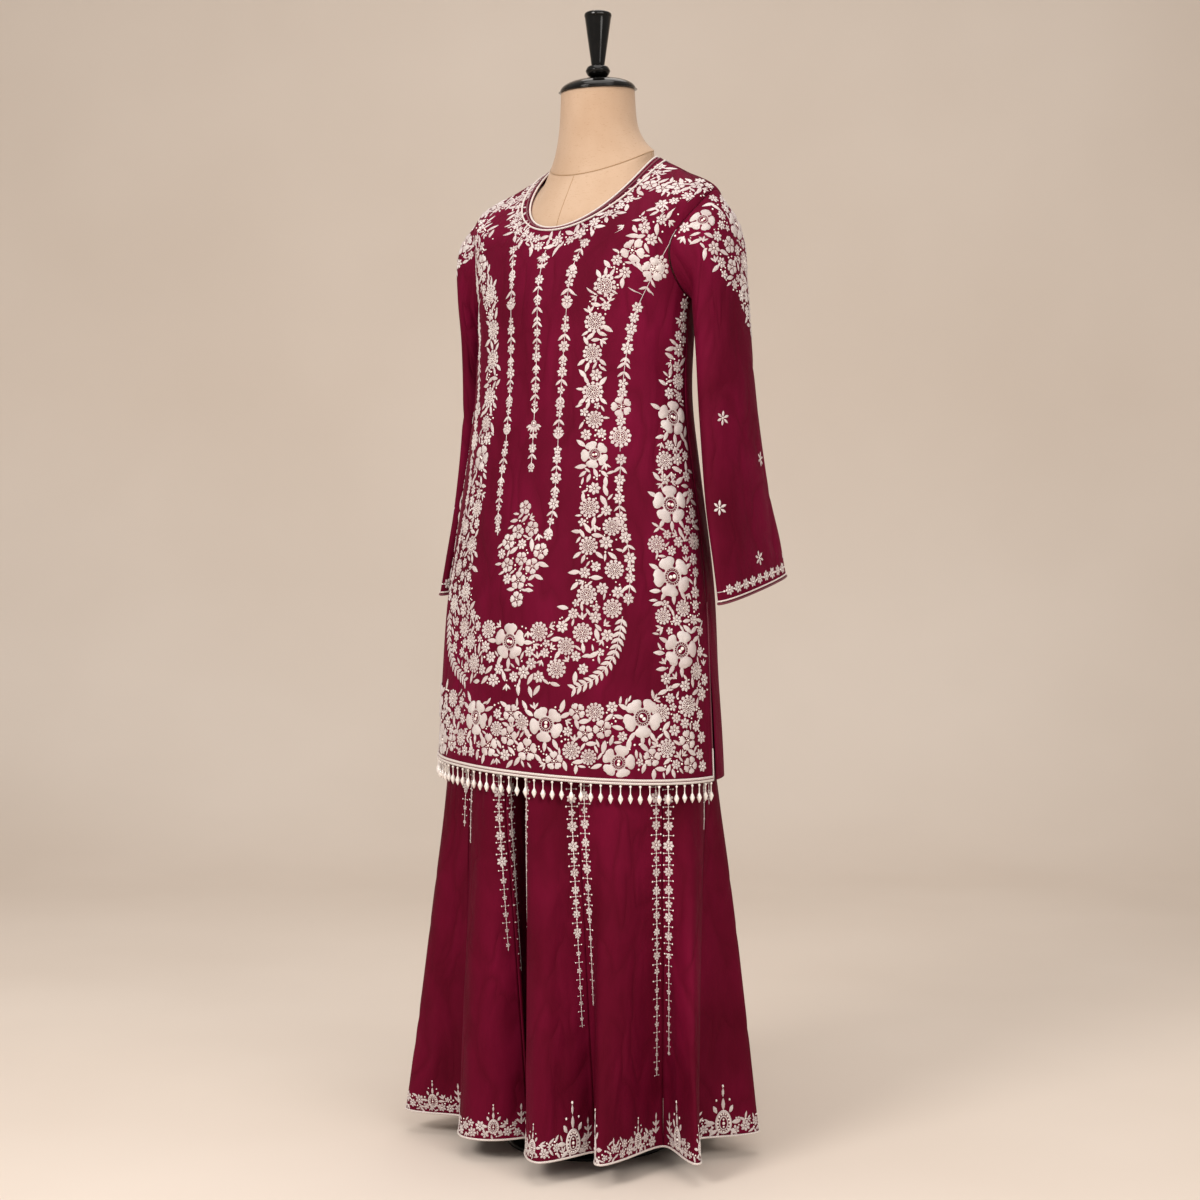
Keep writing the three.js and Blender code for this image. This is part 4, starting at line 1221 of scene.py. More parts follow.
# %% Running it on points
def scattered(places, attributes, motif, material, seed, variation=0.06):
    """Runs the group on points and returns the real mesh."""
    mesh = bpy.data.meshes.new("places")
    mesh.from_pydata(places.tolist(), [], [])
    for name, values in attributes.items():
        mesh.attributes.new(name, "FLOAT", "POINT").data.foreach_set(
            "value", np.asarray(values, np.float32))
    holder = bpy.data.objects.new("places", mesh)
    bpy.context.scene.collection.objects.link(holder)
    modifier = holder.modifiers.new("Motifs", "NODES")
    modifier.node_group = SCATTER
    for name, value in (("Motif", motif), ("Material", material), ("Variation", variation),
                        ("Seed", seed)):
        modifier[SCATTER_INPUTS[name]] = value
    graph = bpy.context.evaluated_depsgraph_get()
    made = bpy.data.meshes.new_from_object(holder.evaluated_get(graph))
    holder.modifiers.remove(modifier)
    bpy.data.objects.remove(holder)
    bpy.data.meshes.remove(mesh)
    return made


def mesh_arrays(mesh):
    """Positions, faces, uvs at the vertices, and the kept column and row of each vertex."""
    count = len(mesh.vertices)
    positions = np.empty(count * 3, np.float32)
    mesh.vertices.foreach_get("co", positions)
    loops = np.empty(len(mesh.loops), np.int32)
    mesh.loops.foreach_get("vertex_index", loops)
    starts, totals = np.empty(len(mesh.polygons), np.int32), np.empty(len(mesh.polygons), np.int32)
    mesh.polygons.foreach_get("loop_start", starts)
    mesh.polygons.foreach_get("loop_total", totals)
    faces = [loops[a:a + n].tolist() for a, n in zip(starts.tolist(), totals.tolist())]
    flat_uv = np.zeros(len(loops) * 2, np.float32)
    layer = mesh.uv_layers.get("metres")
    if layer is not None:
        layer.data.foreach_get("uv", flat_uv)
    uvs = np.zeros((count, 2), np.float32)
    uvs[loops] = flat_uv.reshape(-1, 2)
    kept = {}
    for name in ("column", "row"):
        values = np.zeros(count, np.float32)
        attribute = mesh.attributes.get(name)
        if attribute is not None:
            attribute.data.foreach_get("value", values)
        kept[name] = values
    return positions.reshape(-1, 3).astype(float), faces, uvs, kept


# %% [markdown]
# ## Laying motifs on a cloth
# An embroiderer draws lines and bands on the cloth and fills them. This does the same: strings put
# motif after motif along a route with a couched stem under them, and bands are filled with tries at
# random places that are kept only where there's room. Places are columns and rows of the cloth's
# grid, so a motif follows every crease when its points are moved from the flat to the cloth.

# %% Embroidery
# how far a motif's middle lies from its foot, in mm, where it isn't at its foot
MIDDLES = {"leaf": 7.5, "slim": 5.5, "bud": 4.0, "fan": 8.0}


def both_sides(s, mirror):
    """The sides on which a motif is set: one only, if it lies on the centre line."""
    return (1, -1) if mirror and abs(s) > 0.3 else (1,)


class Embroidery:
    """Motifs laid on a cloth, none on top of another."""

    def __init__(self, cloth, seed):
        self.cloth, self.rng = cloth, np.random.default_rng(seed)
        self.items, self.stems = [], []
        self.spots, self.rooms = np.zeros((0, 3)), np.zeros(0)

    def here(self, c, r):
        """The point at one place on the grid."""
        return self.cloth.sample(self.cloth.points, np.atleast_1d(c), np.atleast_1d(r))[0]

    def is_free(self, point, room, gap):
        """Whether no motif laid so far comes closer than gap mm."""
        if not len(self.rooms):
            return True
        away = np.linalg.norm(self.spots - point, axis=1)
        return bool(np.all(away > self.rooms + room + gap * MM))

    def lies_true(self, c, r, room):
        """Whether a motif would keep its size here, as it doesn't where the grid turns sharply."""
        ways = room * np.array([(1, 0), (-1, 0), (0, 1), (0, -1)])
        cc, rr = self.cloth.shift(np.full(4, c), np.full(4, r), ways[:, 0], ways[:, 1])
        away = self.cloth.sample(self.cloth.points, cc, rr) - self.here(c, r)
        share = np.linalg.norm(away, axis=1) / room
        return bool(np.all((share > 0.7) & (share < 1.35)))

    def put(self, kind, c, r, turn=0.0, size=1.0, gap=None, reach=0.0):
        """Sets a motif with its foot at a place on the grid; reach moves the room it takes
        out along it. Where gap is given it is laid only if it fits."""
        c, r = float(c), float(r)
        middle = (c, r)
        if reach:
            middle = self.cloth.step(c, r, -math.sin(turn) * reach * MM,
                                     math.cos(turn) * reach * MM)
        inside = (self.cloth.ring or 2 < middle[0] < self.cloth.columns - 3)
        if gap is not None and not (inside and 0.5 < middle[1] < self.cloth.rows - 1.5):
            return False
        point, room = self.here(*middle), MOTIFS[kind]["room"] * size
        if gap is not None and not self.is_free(point, room, gap):
            return False
        if not self.lies_true(*middle, min(max(room, reach * MM), 0.009)):
            return False
        self.items.append((kind, c, r, turn, size))
        self.spots = np.vstack([self.spots, point])
        self.rooms = np.append(self.rooms, room)
        return True

    def at(self, kind, s, h, turn=0.0, size=1.0, mirror=True):
        """Sets a motif at a place in cm, and its mirror image."""
        for side in both_sides(s, mirror):
            c, r = self.cloth.locate(side * s * 0.01, h * 0.01)
            self.put(kind, c[0], r[0], side * turn, size)

    def leaves_round(self, s, h, radius, turns, mirror=True, size=1.0):
        """Leaves that fan out from under a flower."""
        for side in both_sides(s, mirror):
            c, r = self.cloth.locate(side * s * 0.01, h * 0.01)
            for turn in turns:
                angle = side * math.radians(turn)
                foot = self.cloth.step(c[0], r[0], -math.sin(angle) * radius * MM,
                                       math.cos(angle) * radius * MM)
                self.put("leaf", *foot, angle, size, gap=-3.0, reach=MIDDLES["leaf"] * size)

    def route(self, places, side=1):
        """A path through places in cm, or through their mirror images if side is -1, with the
        way it heads and its length so far."""
        places = np.array(places, float)
        places[:, 0] *= side
        dense = at_level(places, np.linspace(0, len(places) - 1, 40 * (len(places) - 1) + 1))
        c, r = self.cloth.locate(dense[:, 0] * 0.01, dense[:, 1] * 0.01)
        return self.route_on_grid(c, r, dense[:, 2] * 0.01 if dense.shape[1] > 2 else None)

    def route_on_grid(self, c, r, width=None):
        """A path through places on the grid."""
        points = self.cloth.sample(self.cloth.points, c, r)
        along = np.pad(np.cumsum(np.linalg.norm(np.diff(points, axis=0), axis=-1)), (1, 0))
        normal = unit(self.cloth.sample(self.cloth.normals, c, r))
        right = (self.cloth.sample(self.cloth.points, c + 0.5, r)
                 - self.cloth.sample(self.cloth.points, c - 0.5, r))
        e1 = unit(right - normal * np.sum(right * normal, -1, keepdims=True))
        e2 = np.cross(normal, e1)
        way = unit(np.gradient(points, axis=0))
        heading = np.arctan2(-np.sum(way * e1, -1), np.sum(way * e2, -1))
        return {"c": c, "r": r, "along": along, "heading": np.unwrap(heading),
                "width": width if width is not None else np.zeros(len(c))}

    def level_route(self, h, first, last, count, width=0.0):
        """A path at one height, in metres, between two columns."""
        row = float(np.interp(h, self.cloth.h, np.arange(self.cloth.rows)))
        return self.route_on_grid(np.linspace(first, last, count), np.full(count, row),
                                  np.full(count, width))

    def on(self, path, distance, aside=0.0):
        """Grid place and heading at a distance in metres along a path."""
        c = np.interp(distance, path["along"], path["c"])
        r = np.interp(distance, path["along"], path["r"])
        turn = float(np.interp(distance, path["along"], path["heading"]))
        if aside:
            c, r = self.cloth.step(c, r, math.cos(turn) * aside, math.sin(turn) * aside)
        return float(c), float(r), turn

    def string(self, path, sequence, start=0.0, end=None, gap=0.6, sizes=(1.0, 1.0), stem=0.45):
        """Motifs one after another along a path, joined by a stem."""
        end = path["along"][-1] if end is None else end
        inside = (path["along"] >= start) & (path["along"] <= end)
        self.stems.append((path["c"][inside], path["r"][inside], stem))
        position, count = start, 0
        while position < end:
            kind = sequence[count % len(sequence)]
            size = sizes[0] + (sizes[1] - sizes[0]) * (position - start) / max(end - start, 1e-6)
            size *= self.rng.uniform(0.88, 1.12)
            flip = kind.startswith("-")
            kind = kind.lstrip("-")
            if kind == "pair":
                step = 5.5 * MM * size
                if position + step > end:
                    break
                c, r, turn = self.on(path, position + step * 0.4)
                for side in (-1, 1):
                    lean = turn + side * 0.8 + (math.pi if flip else 0)
                    self.put("slim", c, r, lean, size * self.rng.uniform(0.85, 1.05),
                             reach=MIDDLES["slim"])
                position += 2 * step + gap * MM
            else:
                room = MOTIFS[kind]["room"] * size
                if position + room > end + 2 * MM:
                    break
                c, r, turn = self.on(path, position + room)
                spin = turn if kind in ("bud", "bar", "fan", "oval") else self.rng.uniform(0, TAU)
                self.put(kind, c, r, spin + (math.pi if flip else 0), size)
                position += 2 * room + gap * MM
            count += 1

    def fill(self, path, mix, tries, gap=0.8):
        """Fills the band along a path: kinds in turn, each wherever it fits."""
        total = path["along"][-1]
        for kind, share, low, high in mix:
            for _ in range(int(tries * share)):
                distance = self.rng.uniform(0, total)
                width = float(np.interp(distance, path["along"], path["width"]))
                size = self.rng.uniform(low, high)
                room = MOTIFS[kind]["room"] * size
                spread = max(width - room * 0.8, 0)
                c, r, turn = self.on(path, distance, self.rng.uniform(-spread, spread))
                spin = self.rng.uniform(0, TAU)
                self.put(kind, c, r, spin, size, gap=gap, reach=MIDDLES.get(kind, 0) * size)

    def stem_mesh(self):
        """Couched stems as low ridges of thread."""
        positions, faces, uvs = [], [], []
        for c, r, width in self.stems:
            if len(c) < 2:
                continue
            path = self.route_on_grid(c, r)
            start = sum(len(p) for p in positions)
            rows = []
            for aside, lift in ((-width, 0.0), (0.0, 0.7), (width, 0.0)):
                turn = path["heading"]
                cc, rr = self.cloth.shift(c, r, np.cos(turn) * aside * MM,
                                          np.sin(turn) * aside * MM)
                rows.append(self.cloth.place(cc, rr, np.full(len(c), lift * MM)))
            points = np.stack(rows, 1)
            faces += grid_faces(len(c), 3, False, start).tolist()
            positions.append(points.reshape(-1, 3))
            across = np.array([-width, 0, width]) * MM
            uv = np.stack(np.broadcast_arrays(across, path["along"][:, None]), -1)
            uvs.append(uv.reshape(-1, 2))
        return positions, faces, uvs

    def sew(self, name):
        """Makes the pieces: every kind set flat by Geometry Nodes, then laid on the cloth."""
        pieces = []
        for layer in ("thread", "beads"):
            positions, faces, uvs = self.stem_mesh() if layer == "thread" else ([], [], [])
            total = sum(len(p) for p in positions)
            for index, kind in enumerate(MOTIFS):
                motif = MOTIFS[kind][layer]
                chosen = [item for item in self.items if item[0] == kind]
                if motif is None or not chosen:
                    continue
                c, r, turn, size = (np.array(values) for values in list(zip(*chosen))[1:])
                places = np.stack([c * FLAT_STEP, r * FLAT_STEP, np.zeros(len(c))], -1)
                made = scattered(places, {"turn": turn, "size": size, "column": c, "row": r}, motif,
                                 motif.data.materials[0], 100 + index)
                flat, found, uv, kept = mesh_arrays(made)
                bpy.data.meshes.remove(made)
                away = flat[:, :2] - np.stack([kept["column"], kept["row"]], -1) * FLAT_STEP
                cc, rr = self.cloth.shift(kept["column"].astype(float), kept["row"].astype(float),
                                          away[:, 0], away[:, 1])
                positions.append(self.cloth.place(cc, rr, flat[:, 2]))
                faces += [[total + k for k in face] for face in found]
                total += len(flat)
                uvs.append(uv)
            piece = build(f"{name}_{layer}", np.concatenate(positions), faces,
                          np.concatenate(uvs), [THREAD if layer == "thread" else BEADS])
            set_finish(piece, "piping" if layer == "thread" else "beads")
            pieces.append(piece)
        return pieces


# %% [markdown]
# ## The suit's embroidery
# The front has a border of large roses up the hem and flanks, two curved bands that meet in a U,
# five straight strings below the neckline and a posy between them. The large flowers are set one
# by one, then leaves round them, then the strings, and last the small motifs that fill each band.
# Places are in cm across from the centre front and up from the hem; a third number is a band's
# half width.

# %% Large flowers on the kameez's front
work = Embroidery(front, 3)
ROSES = [(20.6, 48.6, 0.95), (21.0, 36.6, 1.0), (22.2, 26.8, 1.08), (24.2, 17.2, 0.98),
         (19.0, 8.6, 1.12), (5.9, 7.2, 0.98), (16.0, 2.75, 0.88)]
for s, h, size in ROSES:
    work.at("rose", s, h, turn=0.3 * s, size=size)
work.at("rose", -0.4, 17.9, size=0.98, mirror=False)
work.at("rose", 9.9, 43.4, turn=0.4, size=0.72)
work.at("bloom", 3.2, 3.6, size=1.3)
work.at("bloom", 13.6, 69.6, turn=0.4, size=1.25)
work.at("bloom", 16.6, 67.4, turn=1.0, size=1.2)
for s, h, size in ((10.1, 66.2, 1.1), (8.9, 61.6, 1.0), (8.7, 57.4, 1.0), (9.0, 52.0, 1.0),
                   (9.5, 48.2, 0.85), (9.8, 36.2, 0.95), (13.1, 33.6, 0.9), (10.2, 31.0, 0.95),
                   (14.0, 27.8, 0.95), (10.6, 24.4, 0.95), (14.2, 22.6, 0.95), (10.4, 19.4, 1.0),
                   (7.0, 14.6, 1.0), (4.2, 19.4, 0.92), (8.2, 17.6, 0.85), (21.6, 9.2, 0.95),
                   (12.6, 9.2, 0.95), (25.6, 10.0, 1.05), (22.6, 4.6, 0.9), (9.6, 4.0, 0.9),
                   (25.6, 31.6, 0.85), (24.2, 22.6, 0.85), (19.4, 31.2, 0.85), (19.6, 42.6, 0.9),
                   (21.4, 53.8, 0.85), (21.2, 21.6, 0.8), (27.0, 14.4, 0.85)):
    work.at("disc", s, h, turn=0.7 * s, size=size)
for s, h, _ in ROSES[:-1]:
    work.leaves_round(s, h, 22, (150, 180, 210, 62, -62))
work.leaves_round(-0.4, 17.9, 22, (150, 180, 210, 90, -90), mirror=False)
work.leaves_round(10.1, 66.2, 13, (0, 30, -30), size=0.9)
for s, h in ((8.7, 57.4), (9.0, 52.0), (9.9, 42.0), (10.2, 31.0)):
    work.leaves_round(s, h, 13, (130, 160, -130, 30), size=0.85)

# %% Strings and bands on the front
# a kind, its share of the tries, and its smallest and largest size
SMALL = [("daisy", 1.0, 0.95, 1.3), ("leaf", 0.9, 0.85, 1.15), ("pip", 0.8, 0.9, 1.2),
         ("bud", 1.0, 0.85, 1.1), ("slim", 1.2, 0.8, 1.1), ("bead", 1.0, 0.8, 1.2)]
centre = work.route([(0, 73.2), (0.2, 65), (0.4, 51), (0.6, 41.5)])
work.string(centre, ["fan", "bud", "-pair", "daisy", "pair", "bud", "pip", "pair", "bud", "pair",
                     "daisy", "pair", "pip", "daisy", "bud", "pip", "pair", "daisy", "pair", "pip",
                     "bead", "-bud"],
            start=0.008, sizes=(1.05, 0.9), gap=0.2)
for side in (1, -1):
    second = work.route([(6.5, 73.4), (5.3, 69.5), (4.8, 64), (4.4, 51),
                         (4.7, 38), (4.3, 32.4)], side)
    work.string(second, ["daisy", "pair", "pip", "bud", "daisy", "pip", "pair", "daisy", "-pair",
                         "pip", "daisy", "pair", "daisy", "bud", "pip"], start=0.004,
                sizes=(1.1, 1.02), gap=0.1)
    fourth = work.route([(20.6, 71.0), (17.2, 67.6), (14.5, 63.2),
                         (13.3, 57), (13.0, 50.6), (13.3, 43.8)], side)
    work.string(fourth, ["bloom", "daisy", "disc", "pair", "pair", "-pair", "daisy", "daisy",
                         "daisy", "pip", "daisy", "bud", "pair", "pair", "pip", "daisy"],
                start=0.012, sizes=(1.15, 1.1), gap=0.1)
    beside = work.route([(13.5, 43.4), (13.9, 36), (16.0, 29), (16.2, 23)], side)
    work.string(beside, ["daisy", "pair", "daisy", "pip"], sizes=(1.1, 1.15), gap=0.1)
    sprig = work.route([(15.6, 21.6), (14.8, 16.8), (12.6, 13.7), (9.4, 12.0)], side)
    for distance in np.arange(0.004, sprig["along"][-1], 0.0085):
        c, r, turn = work.on(sprig, distance)
        for lean in (0.75, -0.75):
            work.put("leaf", c, r, turn + lean, 0.78, reach=5)
    work.stems.append((sprig["c"], sprig["r"], 0.6))
    third = work.route([(18.6, 73.6, 1.5), (13.6, 69.6, 1.7), (10.1, 65.5, 1.6),
                        (8.8, 60, 1.45), (8.9, 51, 1.55), (9.9, 43, 1.8),
                        (10.6, 36, 2.3), (11.9, 29, 2.9), (12.0, 23, 3.7),
                        (9.6, 18, 4.2), (5.2, 16.2, 4.3), (0.2, 15.9, 4.3)], side)
    work.fill(third, SMALL, 620, gap=0.5)
    flank = work.route([(22.0, 65.4, 0.6), (21.6, 61, 1.0), (20.8, 55, 1.7),
                        (20.9, 49, 2.3), (21.6, 42, 2.9), (22.6, 34, 3.4),
                        (23.4, 26, 3.7), (24.7, 18, 3.9), (25.9, 11, 4.2)], side)
    work.fill(flank, SMALL, 620, gap=0.5)
    shoulder = work.route([(14.6, 75.7, 0.9), (20.4, 74.0, 1.9), (25.4, 73.2, 2.1),
                           (27.2, 72.4, 2.0)], side)
    work.fill(shoulder, [("bloom", 0.5, 0.8, 1.1), ("disc", 0.3, 0.7, 0.85)] + SMALL, 300, gap=0.5)
hem_band = work.route([(-28.5, 6.4, 5.6), (-23, 6.2, 5.6), (-15, 6.0, 4.7), (-7, 5.5, 4.2), (0, 5.4, 4.1),
                       (7, 5.5, 4.2), (15, 6.0, 4.7), (23, 6.2, 5.6), (28.5, 6.4, 5.6)])
work.fill(hem_band, [("bloom", 0.06, 0.9, 1.1), ("disc", 0.05, 0.7, 0.85)] + SMALL, 1300, gap=0.5)
posy = work.route([(0.2, 36.4, 0.6), (0.3, 33.6, 2.2), (0.3, 30.4, 4.1), (0.3, 27.2, 3.0),
                   (0.3, 24.4, 1.2), (0.3, 22.8, 0.4)])
work.at("bloom", 0.3, 26.2, size=1.0)
work.at("daisy", 0.3, 31.2, size=1.1)
work.fill(posy, [("bloom", 0.25, 0.8, 0.95)] + SMALL, 260, gap=1.1)

# %% The band round the neckline, which follows the edge
NECK_BAND_INSIDE, NECK_BAND_HALF, STEPS = 14.5 * MM, 11.5 * MM, 241
edge_c = (np.linspace(-0.985, 0.985, STEPS) + 1) / 2 * (front.columns - 1)
neck_c, neck_r = front.shift(edge_c, np.full(STEPS, front.rows - 1.5), np.zeros(STEPS),
                             np.full(STEPS, -NECK_BAND_INSIDE))
neckline = work.route_on_grid(neck_c, neck_r, np.full(STEPS, NECK_BAND_HALF))
work.fill(neckline, SMALL, 560, gap=0.4)
front_work = work.sew("front_embroidery")
print("motifs on the front:", len(work.items))

# %% [markdown]
# ### On the sleeves
# A cap of flowers hangs from each shoulder to a point, single stars are scattered below it, and a
# row of daisies and beads runs round the cuff. Both sleeves are laid by the same loop, mirrored.

# %% Sleeves' embroidery
CUFF_PITCH = 17.8 * MM      # from one daisy on the cuff to the next
for side_name, cloth, facing in (("left", left_sleeve, 1), ("right", right_sleeve, -1)):
    sewn = Embroidery(cloth, 17 if facing > 0 else 19)
    for s, h, size in ((-4.8, 23.8, 1.0), (3.8, 18.0, 1.0), (-6.8, 12.2, 1.0), (0.2, 4.4, 1.0),
                       (7.6, 25.5, 1.0), (8.4, 11.4, 1.0), (-11.5, 20.0, 1.0), (12.5, 18.5, 1.0)):
        sewn.at("star", facing * s, h, turn=0.5 * s, size=size, mirror=False)
    cap = sewn.route([(-0.6, 54.8, 7.0), (0.0, 51.5, 7.2), (1.4, 47.8, 5.6),
                      (3.2, 44.0, 3.8), (4.8, 40.6, 2.2), (6.0, 37.4, 1.0)], facing)
    for s, h, kind, size in ((-5.3, 53.2, "rose", 0.72), (1.6, 50.6, "rose", 0.78),
                             (3.2, 46.2, "disc", 1.0), (-1.2, 47.4, "bloom", 1.0)):
        sewn.at(kind, facing * s, h, size=size, mirror=False)
    sewn.fill(cap, [("bloom", 0.12, 0.85, 1.1), ("disc", 0.1, 0.8, 0.95)] + SMALL, 420, gap=0.8)
    around = sewn.level_route(0.0165, 0, 95.99, 193)
    sewn.stems.append((around["c"], around["r"], 0.45))
    for index, distance in enumerate(np.arange(0, around["along"][-1] - 0.006, CUFF_PITCH)):
        c, r, _ = sewn.on(around, distance)
        sewn.put("daisy", c, r, 0.4 * index, 1.05)
        c, r, _ = sewn.on(around, distance + CUFF_PITCH / 2)
        sewn.put("bead", c, r, 0, 1.1)
    for s, h in ((9.3, 3.1), (8.2, 3.3), (10.3, 2.9), (9.3, 4.4)):
        sewn.at("pip", facing * s, h, turn=s, size=1.0, mirror=False)
    sewn.sew(f"sleeve_{side_name}_embroidery")

# %% [markdown]
# ### On the sharara
# Thin vines run down both sides of the front seams and stop at different heights, tapering out.
# The hem has an oval medallion every 75 mm or so, large and small in turn, with buds at the seams
# and small flowers between.

# %% Vines beside the seams, and the hem's border
# for each seam from the front corner round to the side, how far down its vines reach, in metres
# up from the hem
VINES = {"left": (0.20, 0.17, 0.10, 0.43), "right": (0.23, 0.40, 0.30, 0.43)}
VINE = ["daisy", "bar", "pip", "bar", "daisy", "bead", "bar", "bead"]
VINE_TOP, VINE_ASIDE, VINE_STEPS = 0.62, 8.5 * MM, 161
HEM_FILL = [("daisy", 0.7, 0.85, 1.1), ("pip", 0.9, 0.8, 1.05), ("bud", 0.8, 0.7, 1.0),
            ("slim", 2.0, 0.6, 1.0), ("bead", 1.6, 0.8, 1.1)]
leg_work = {}
for (side_name, number), cloth in gores.items():
    facing = 1 if side_name == "left" else -1
    sewn = Embroidery(cloth, 60 + number + (10 if facing > 0 else 0))
    first, second = (0, cloth.columns - 1) if facing > 0 else (cloth.columns - 1, 0)
    for edge, seam in ((first, number), (second, number + 1)):
        if number == 5 and edge == second:
            seam = 0
        if seam > 3:
            continue
        low = VINES[side_name][seam] + (0.03 if edge == first else 0.0)
        rows = np.linspace(np.interp(low, cloth.h, np.arange(cloth.rows)),
                           np.interp(VINE_TOP, cloth.h, np.arange(cloth.rows)), VINE_STEPS)[::-1]
        inward = 1 if edge == 0 else -1
        c, r = cloth.shift(np.full(VINE_STEPS, float(edge)), rows,
                           np.full(VINE_STEPS, inward * VINE_ASIDE), np.zeros(VINE_STEPS))
        path = sewn.route_on_grid(c, r)
        total = path["along"][-1]
        sewn.string(path, VINE, end=total * 0.72, sizes=(1.1, 0.85), gap=0.4, stem=0.6)
        sewn.string(path, ["pip", "bead", "bar", "bead"], start=total * 0.72, end=total,
                    sizes=(0.8, 0.5), gap=2.0, stem=0.4)
    hem_path = sewn.level_route(0.0155, 1.2, cloth.columns - 2.2, 181, 11 * MM)
    total = hem_path["along"][-1]
    count = max(2, round(total / 0.075))
    for index in range(count):
        share, size = (index + 0.5) / count, 0.85 if index % 2 else 1.3
        c, r, _ = sewn.on(hem_path, total * share)
        sewn.put("oval", *cloth.step(c, r, 0, 3.5 * MM), 0.0, size, reach=2)
    for share in (0.035, 0.965):
        c, r, _ = sewn.on(hem_path, total * share)
        for up, kind, size in ((6, "bud", 1.0), (14, "bud", 0.9), (21, "slim", 0.8)):
            sewn.put(kind, *cloth.step(c, r, 0, up * MM), 0.0, size, gap=-2)
    sewn.fill(hem_path, HEM_FILL, 200 * (1 + total), gap=0.35)
    leg_work[side_name, number] = sewn
print("motifs on the legs:", sum(len(sewn.items) for sewn in leg_work.values()))


# %% The gores' embroidery, joined for each leg
def joined(name, pieces):
    """Several sewn pieces as one object."""
    positions, faces, uvs, total = [], [], [], 0
    for piece in pieces:
        at, found, uv, _ = mesh_arrays(piece.data)
        positions.append(at)
        uvs.append(uv)
        faces += [[total + k for k in face] for face in found]
        total += len(at)
    material, slot = pieces[0].data.materials[0], pieces[0]["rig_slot"]
    for piece in pieces:
        bpy.data.objects.remove(piece)
    obj = build(name, np.concatenate(positions), faces, np.concatenate(uvs), [material])
    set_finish(obj, slot)
    return obj


for side_name in ("left", "right"):
    sewn = [leg_work[side_name, number].sew(f"{side_name}_{number}") for number in range(6)]
    [
        joined(f"leg_{side_name}_embroidery_{layer}", [pair[index] for pair in sewn])
        for index, layer in enumerate(("thread", "beads"))]


# %% [markdown]
# ## Piping
# The edges are finished with cords: two ivory ones with a maroon one between round the neck and
# along the front's hem, one at each cuff and trouser hem, and maroon ones up the slits. Each runs
# along a line on the cloth, so it follows every flute.

# %% Neck and hem cords
def along_edge(cloth, c, r, up, lift=0.4, across=0.0):
    """A line on a cloth's outer face, so many mm up and across from the given places."""
    c, r = np.broadcast_arrays(np.asarray(c, float), np.asarray(r, float))
    cc, rr = cloth.shift(c, r, np.full(len(c), across * MM), np.full(len(c), up * MM))
    return cloth.place(cc, rr, np.full(len(c), lift * MM))


neck_turns = np.linspace(-180, 180, 241)[:-1]


def neck_line(level, lift):
    """A line round the neckline, lifted off it by so many mm."""
    ring = ring_point(KAMEEZ, neck_turns, np.full(240, level))
    below = ring_point(KAMEEZ, neck_turns, np.full(240, level - 0.05))
    right = np.roll(ring, -1, 0) - np.roll(ring, 1, 0)
    return ring + unit(np.cross(right, ring - below)) * lift * MM


neck_cords = tube("neck_cords", [neck_line(9.97, 1.4), neck_line(9.6, 1.8)], 1.35 * MM, IVORY_CORD,
                  "piping", ["neck_piping"], closed=True)
neck_cord_between = tube("neck_cord_between", [neck_line(9.79, 1.5)], 1.2 * MM, MAROON_CORD,
                         "georgette", closed=True)
columns = np.linspace(0.3, front.columns - 1.3, 265)
hem_cords = tube("front_hem_cords", [along_edge(front, columns, 0, up, 0.9) for up in (1.4, 5.2)],
                 1.75 * MM, IVORY_CORD, "piping", ["front_hem_piping"])
hem_cord_between = tube("front_hem_cord_between", [along_edge(front, columns, 0, 3.3, 0.5)],
                        0.9 * MM, MAROON_CORD, "georgette")

# %% Slit cords: the cloth's own colour, and ivory only where they meet the hem
SLIT_LENGTH, IVORY_RISE = 0.233, 0.042


def slit_line(column, across, low, high, lift):
    """A line up a slit's edge between two heights in metres."""
    rows = np.interp(np.linspace(low, high, 90), front.h, np.arange(front.rows))
    return along_edge(front, np.full(90, column), rows, 0, lift, across)


slit_cords = []
for side_name, column, across in (("left", front.columns - 1.001, -1.0), ("right", 0.0, 1.0)):
    slit_cords += [
        tube(f"slit_cord_{side_name}", [slit_line(column, across, 0.005, SLIT_LENGTH, 0.5)],
             1.1 * MM, MAROON_CORD, "georgette", [f"slit_piping_{side_name}"]),
        tube(f"slit_end_{side_name}", [slit_line(column, across * 1.4, 0.003, IVORY_RISE, 1.5)],
             1.0 * MM, IVORY_CORD, "piping")]

# %% Cuff and trouser hem cords
for side_name, cloth in (("left", left_sleeve), ("right", right_sleeve)):
    around = np.linspace(0, 96, 193)[:-1]
    tube(f"cuff_cord_{side_name}", [along_edge(cloth, around, 0.02, 4.4, 0.5)], 1.15 * MM,
             IVORY_CORD, "piping", [f"cuff_piping_{side_name}"], closed=True)
    tube(f"cuff_edge_{side_name}", [along_edge(cloth, around, 0.02, 1.2, 0.5)], 1.3 * MM,
             MAROON_CORD, "georgette", closed=True)
for side_name in ("left", "right"):
    lines = [along_edge(gores[side_name, number],
                        np.linspace(0, gores[side_name, number].columns - 1.001, 90), 0, 1.6, 0.6)
             for number in range(6)]
    tube(f"leg_cord_{side_name}", lines, 1.5 * MM, IVORY_CORD, "piping",
                                [f"leg_piping_{side_name}"])


# %% [markdown]
# ## Hanging beads
# Along the hem a round bead, a thin stem and a faceted drop hang every 13 mm, hard and pearly. One
# is made as a turned profile with eight sides, and the same node group sets it on points along the
# hem, each turned at random.

# %% Drops
DROP_PITCH = 13.1 * MM


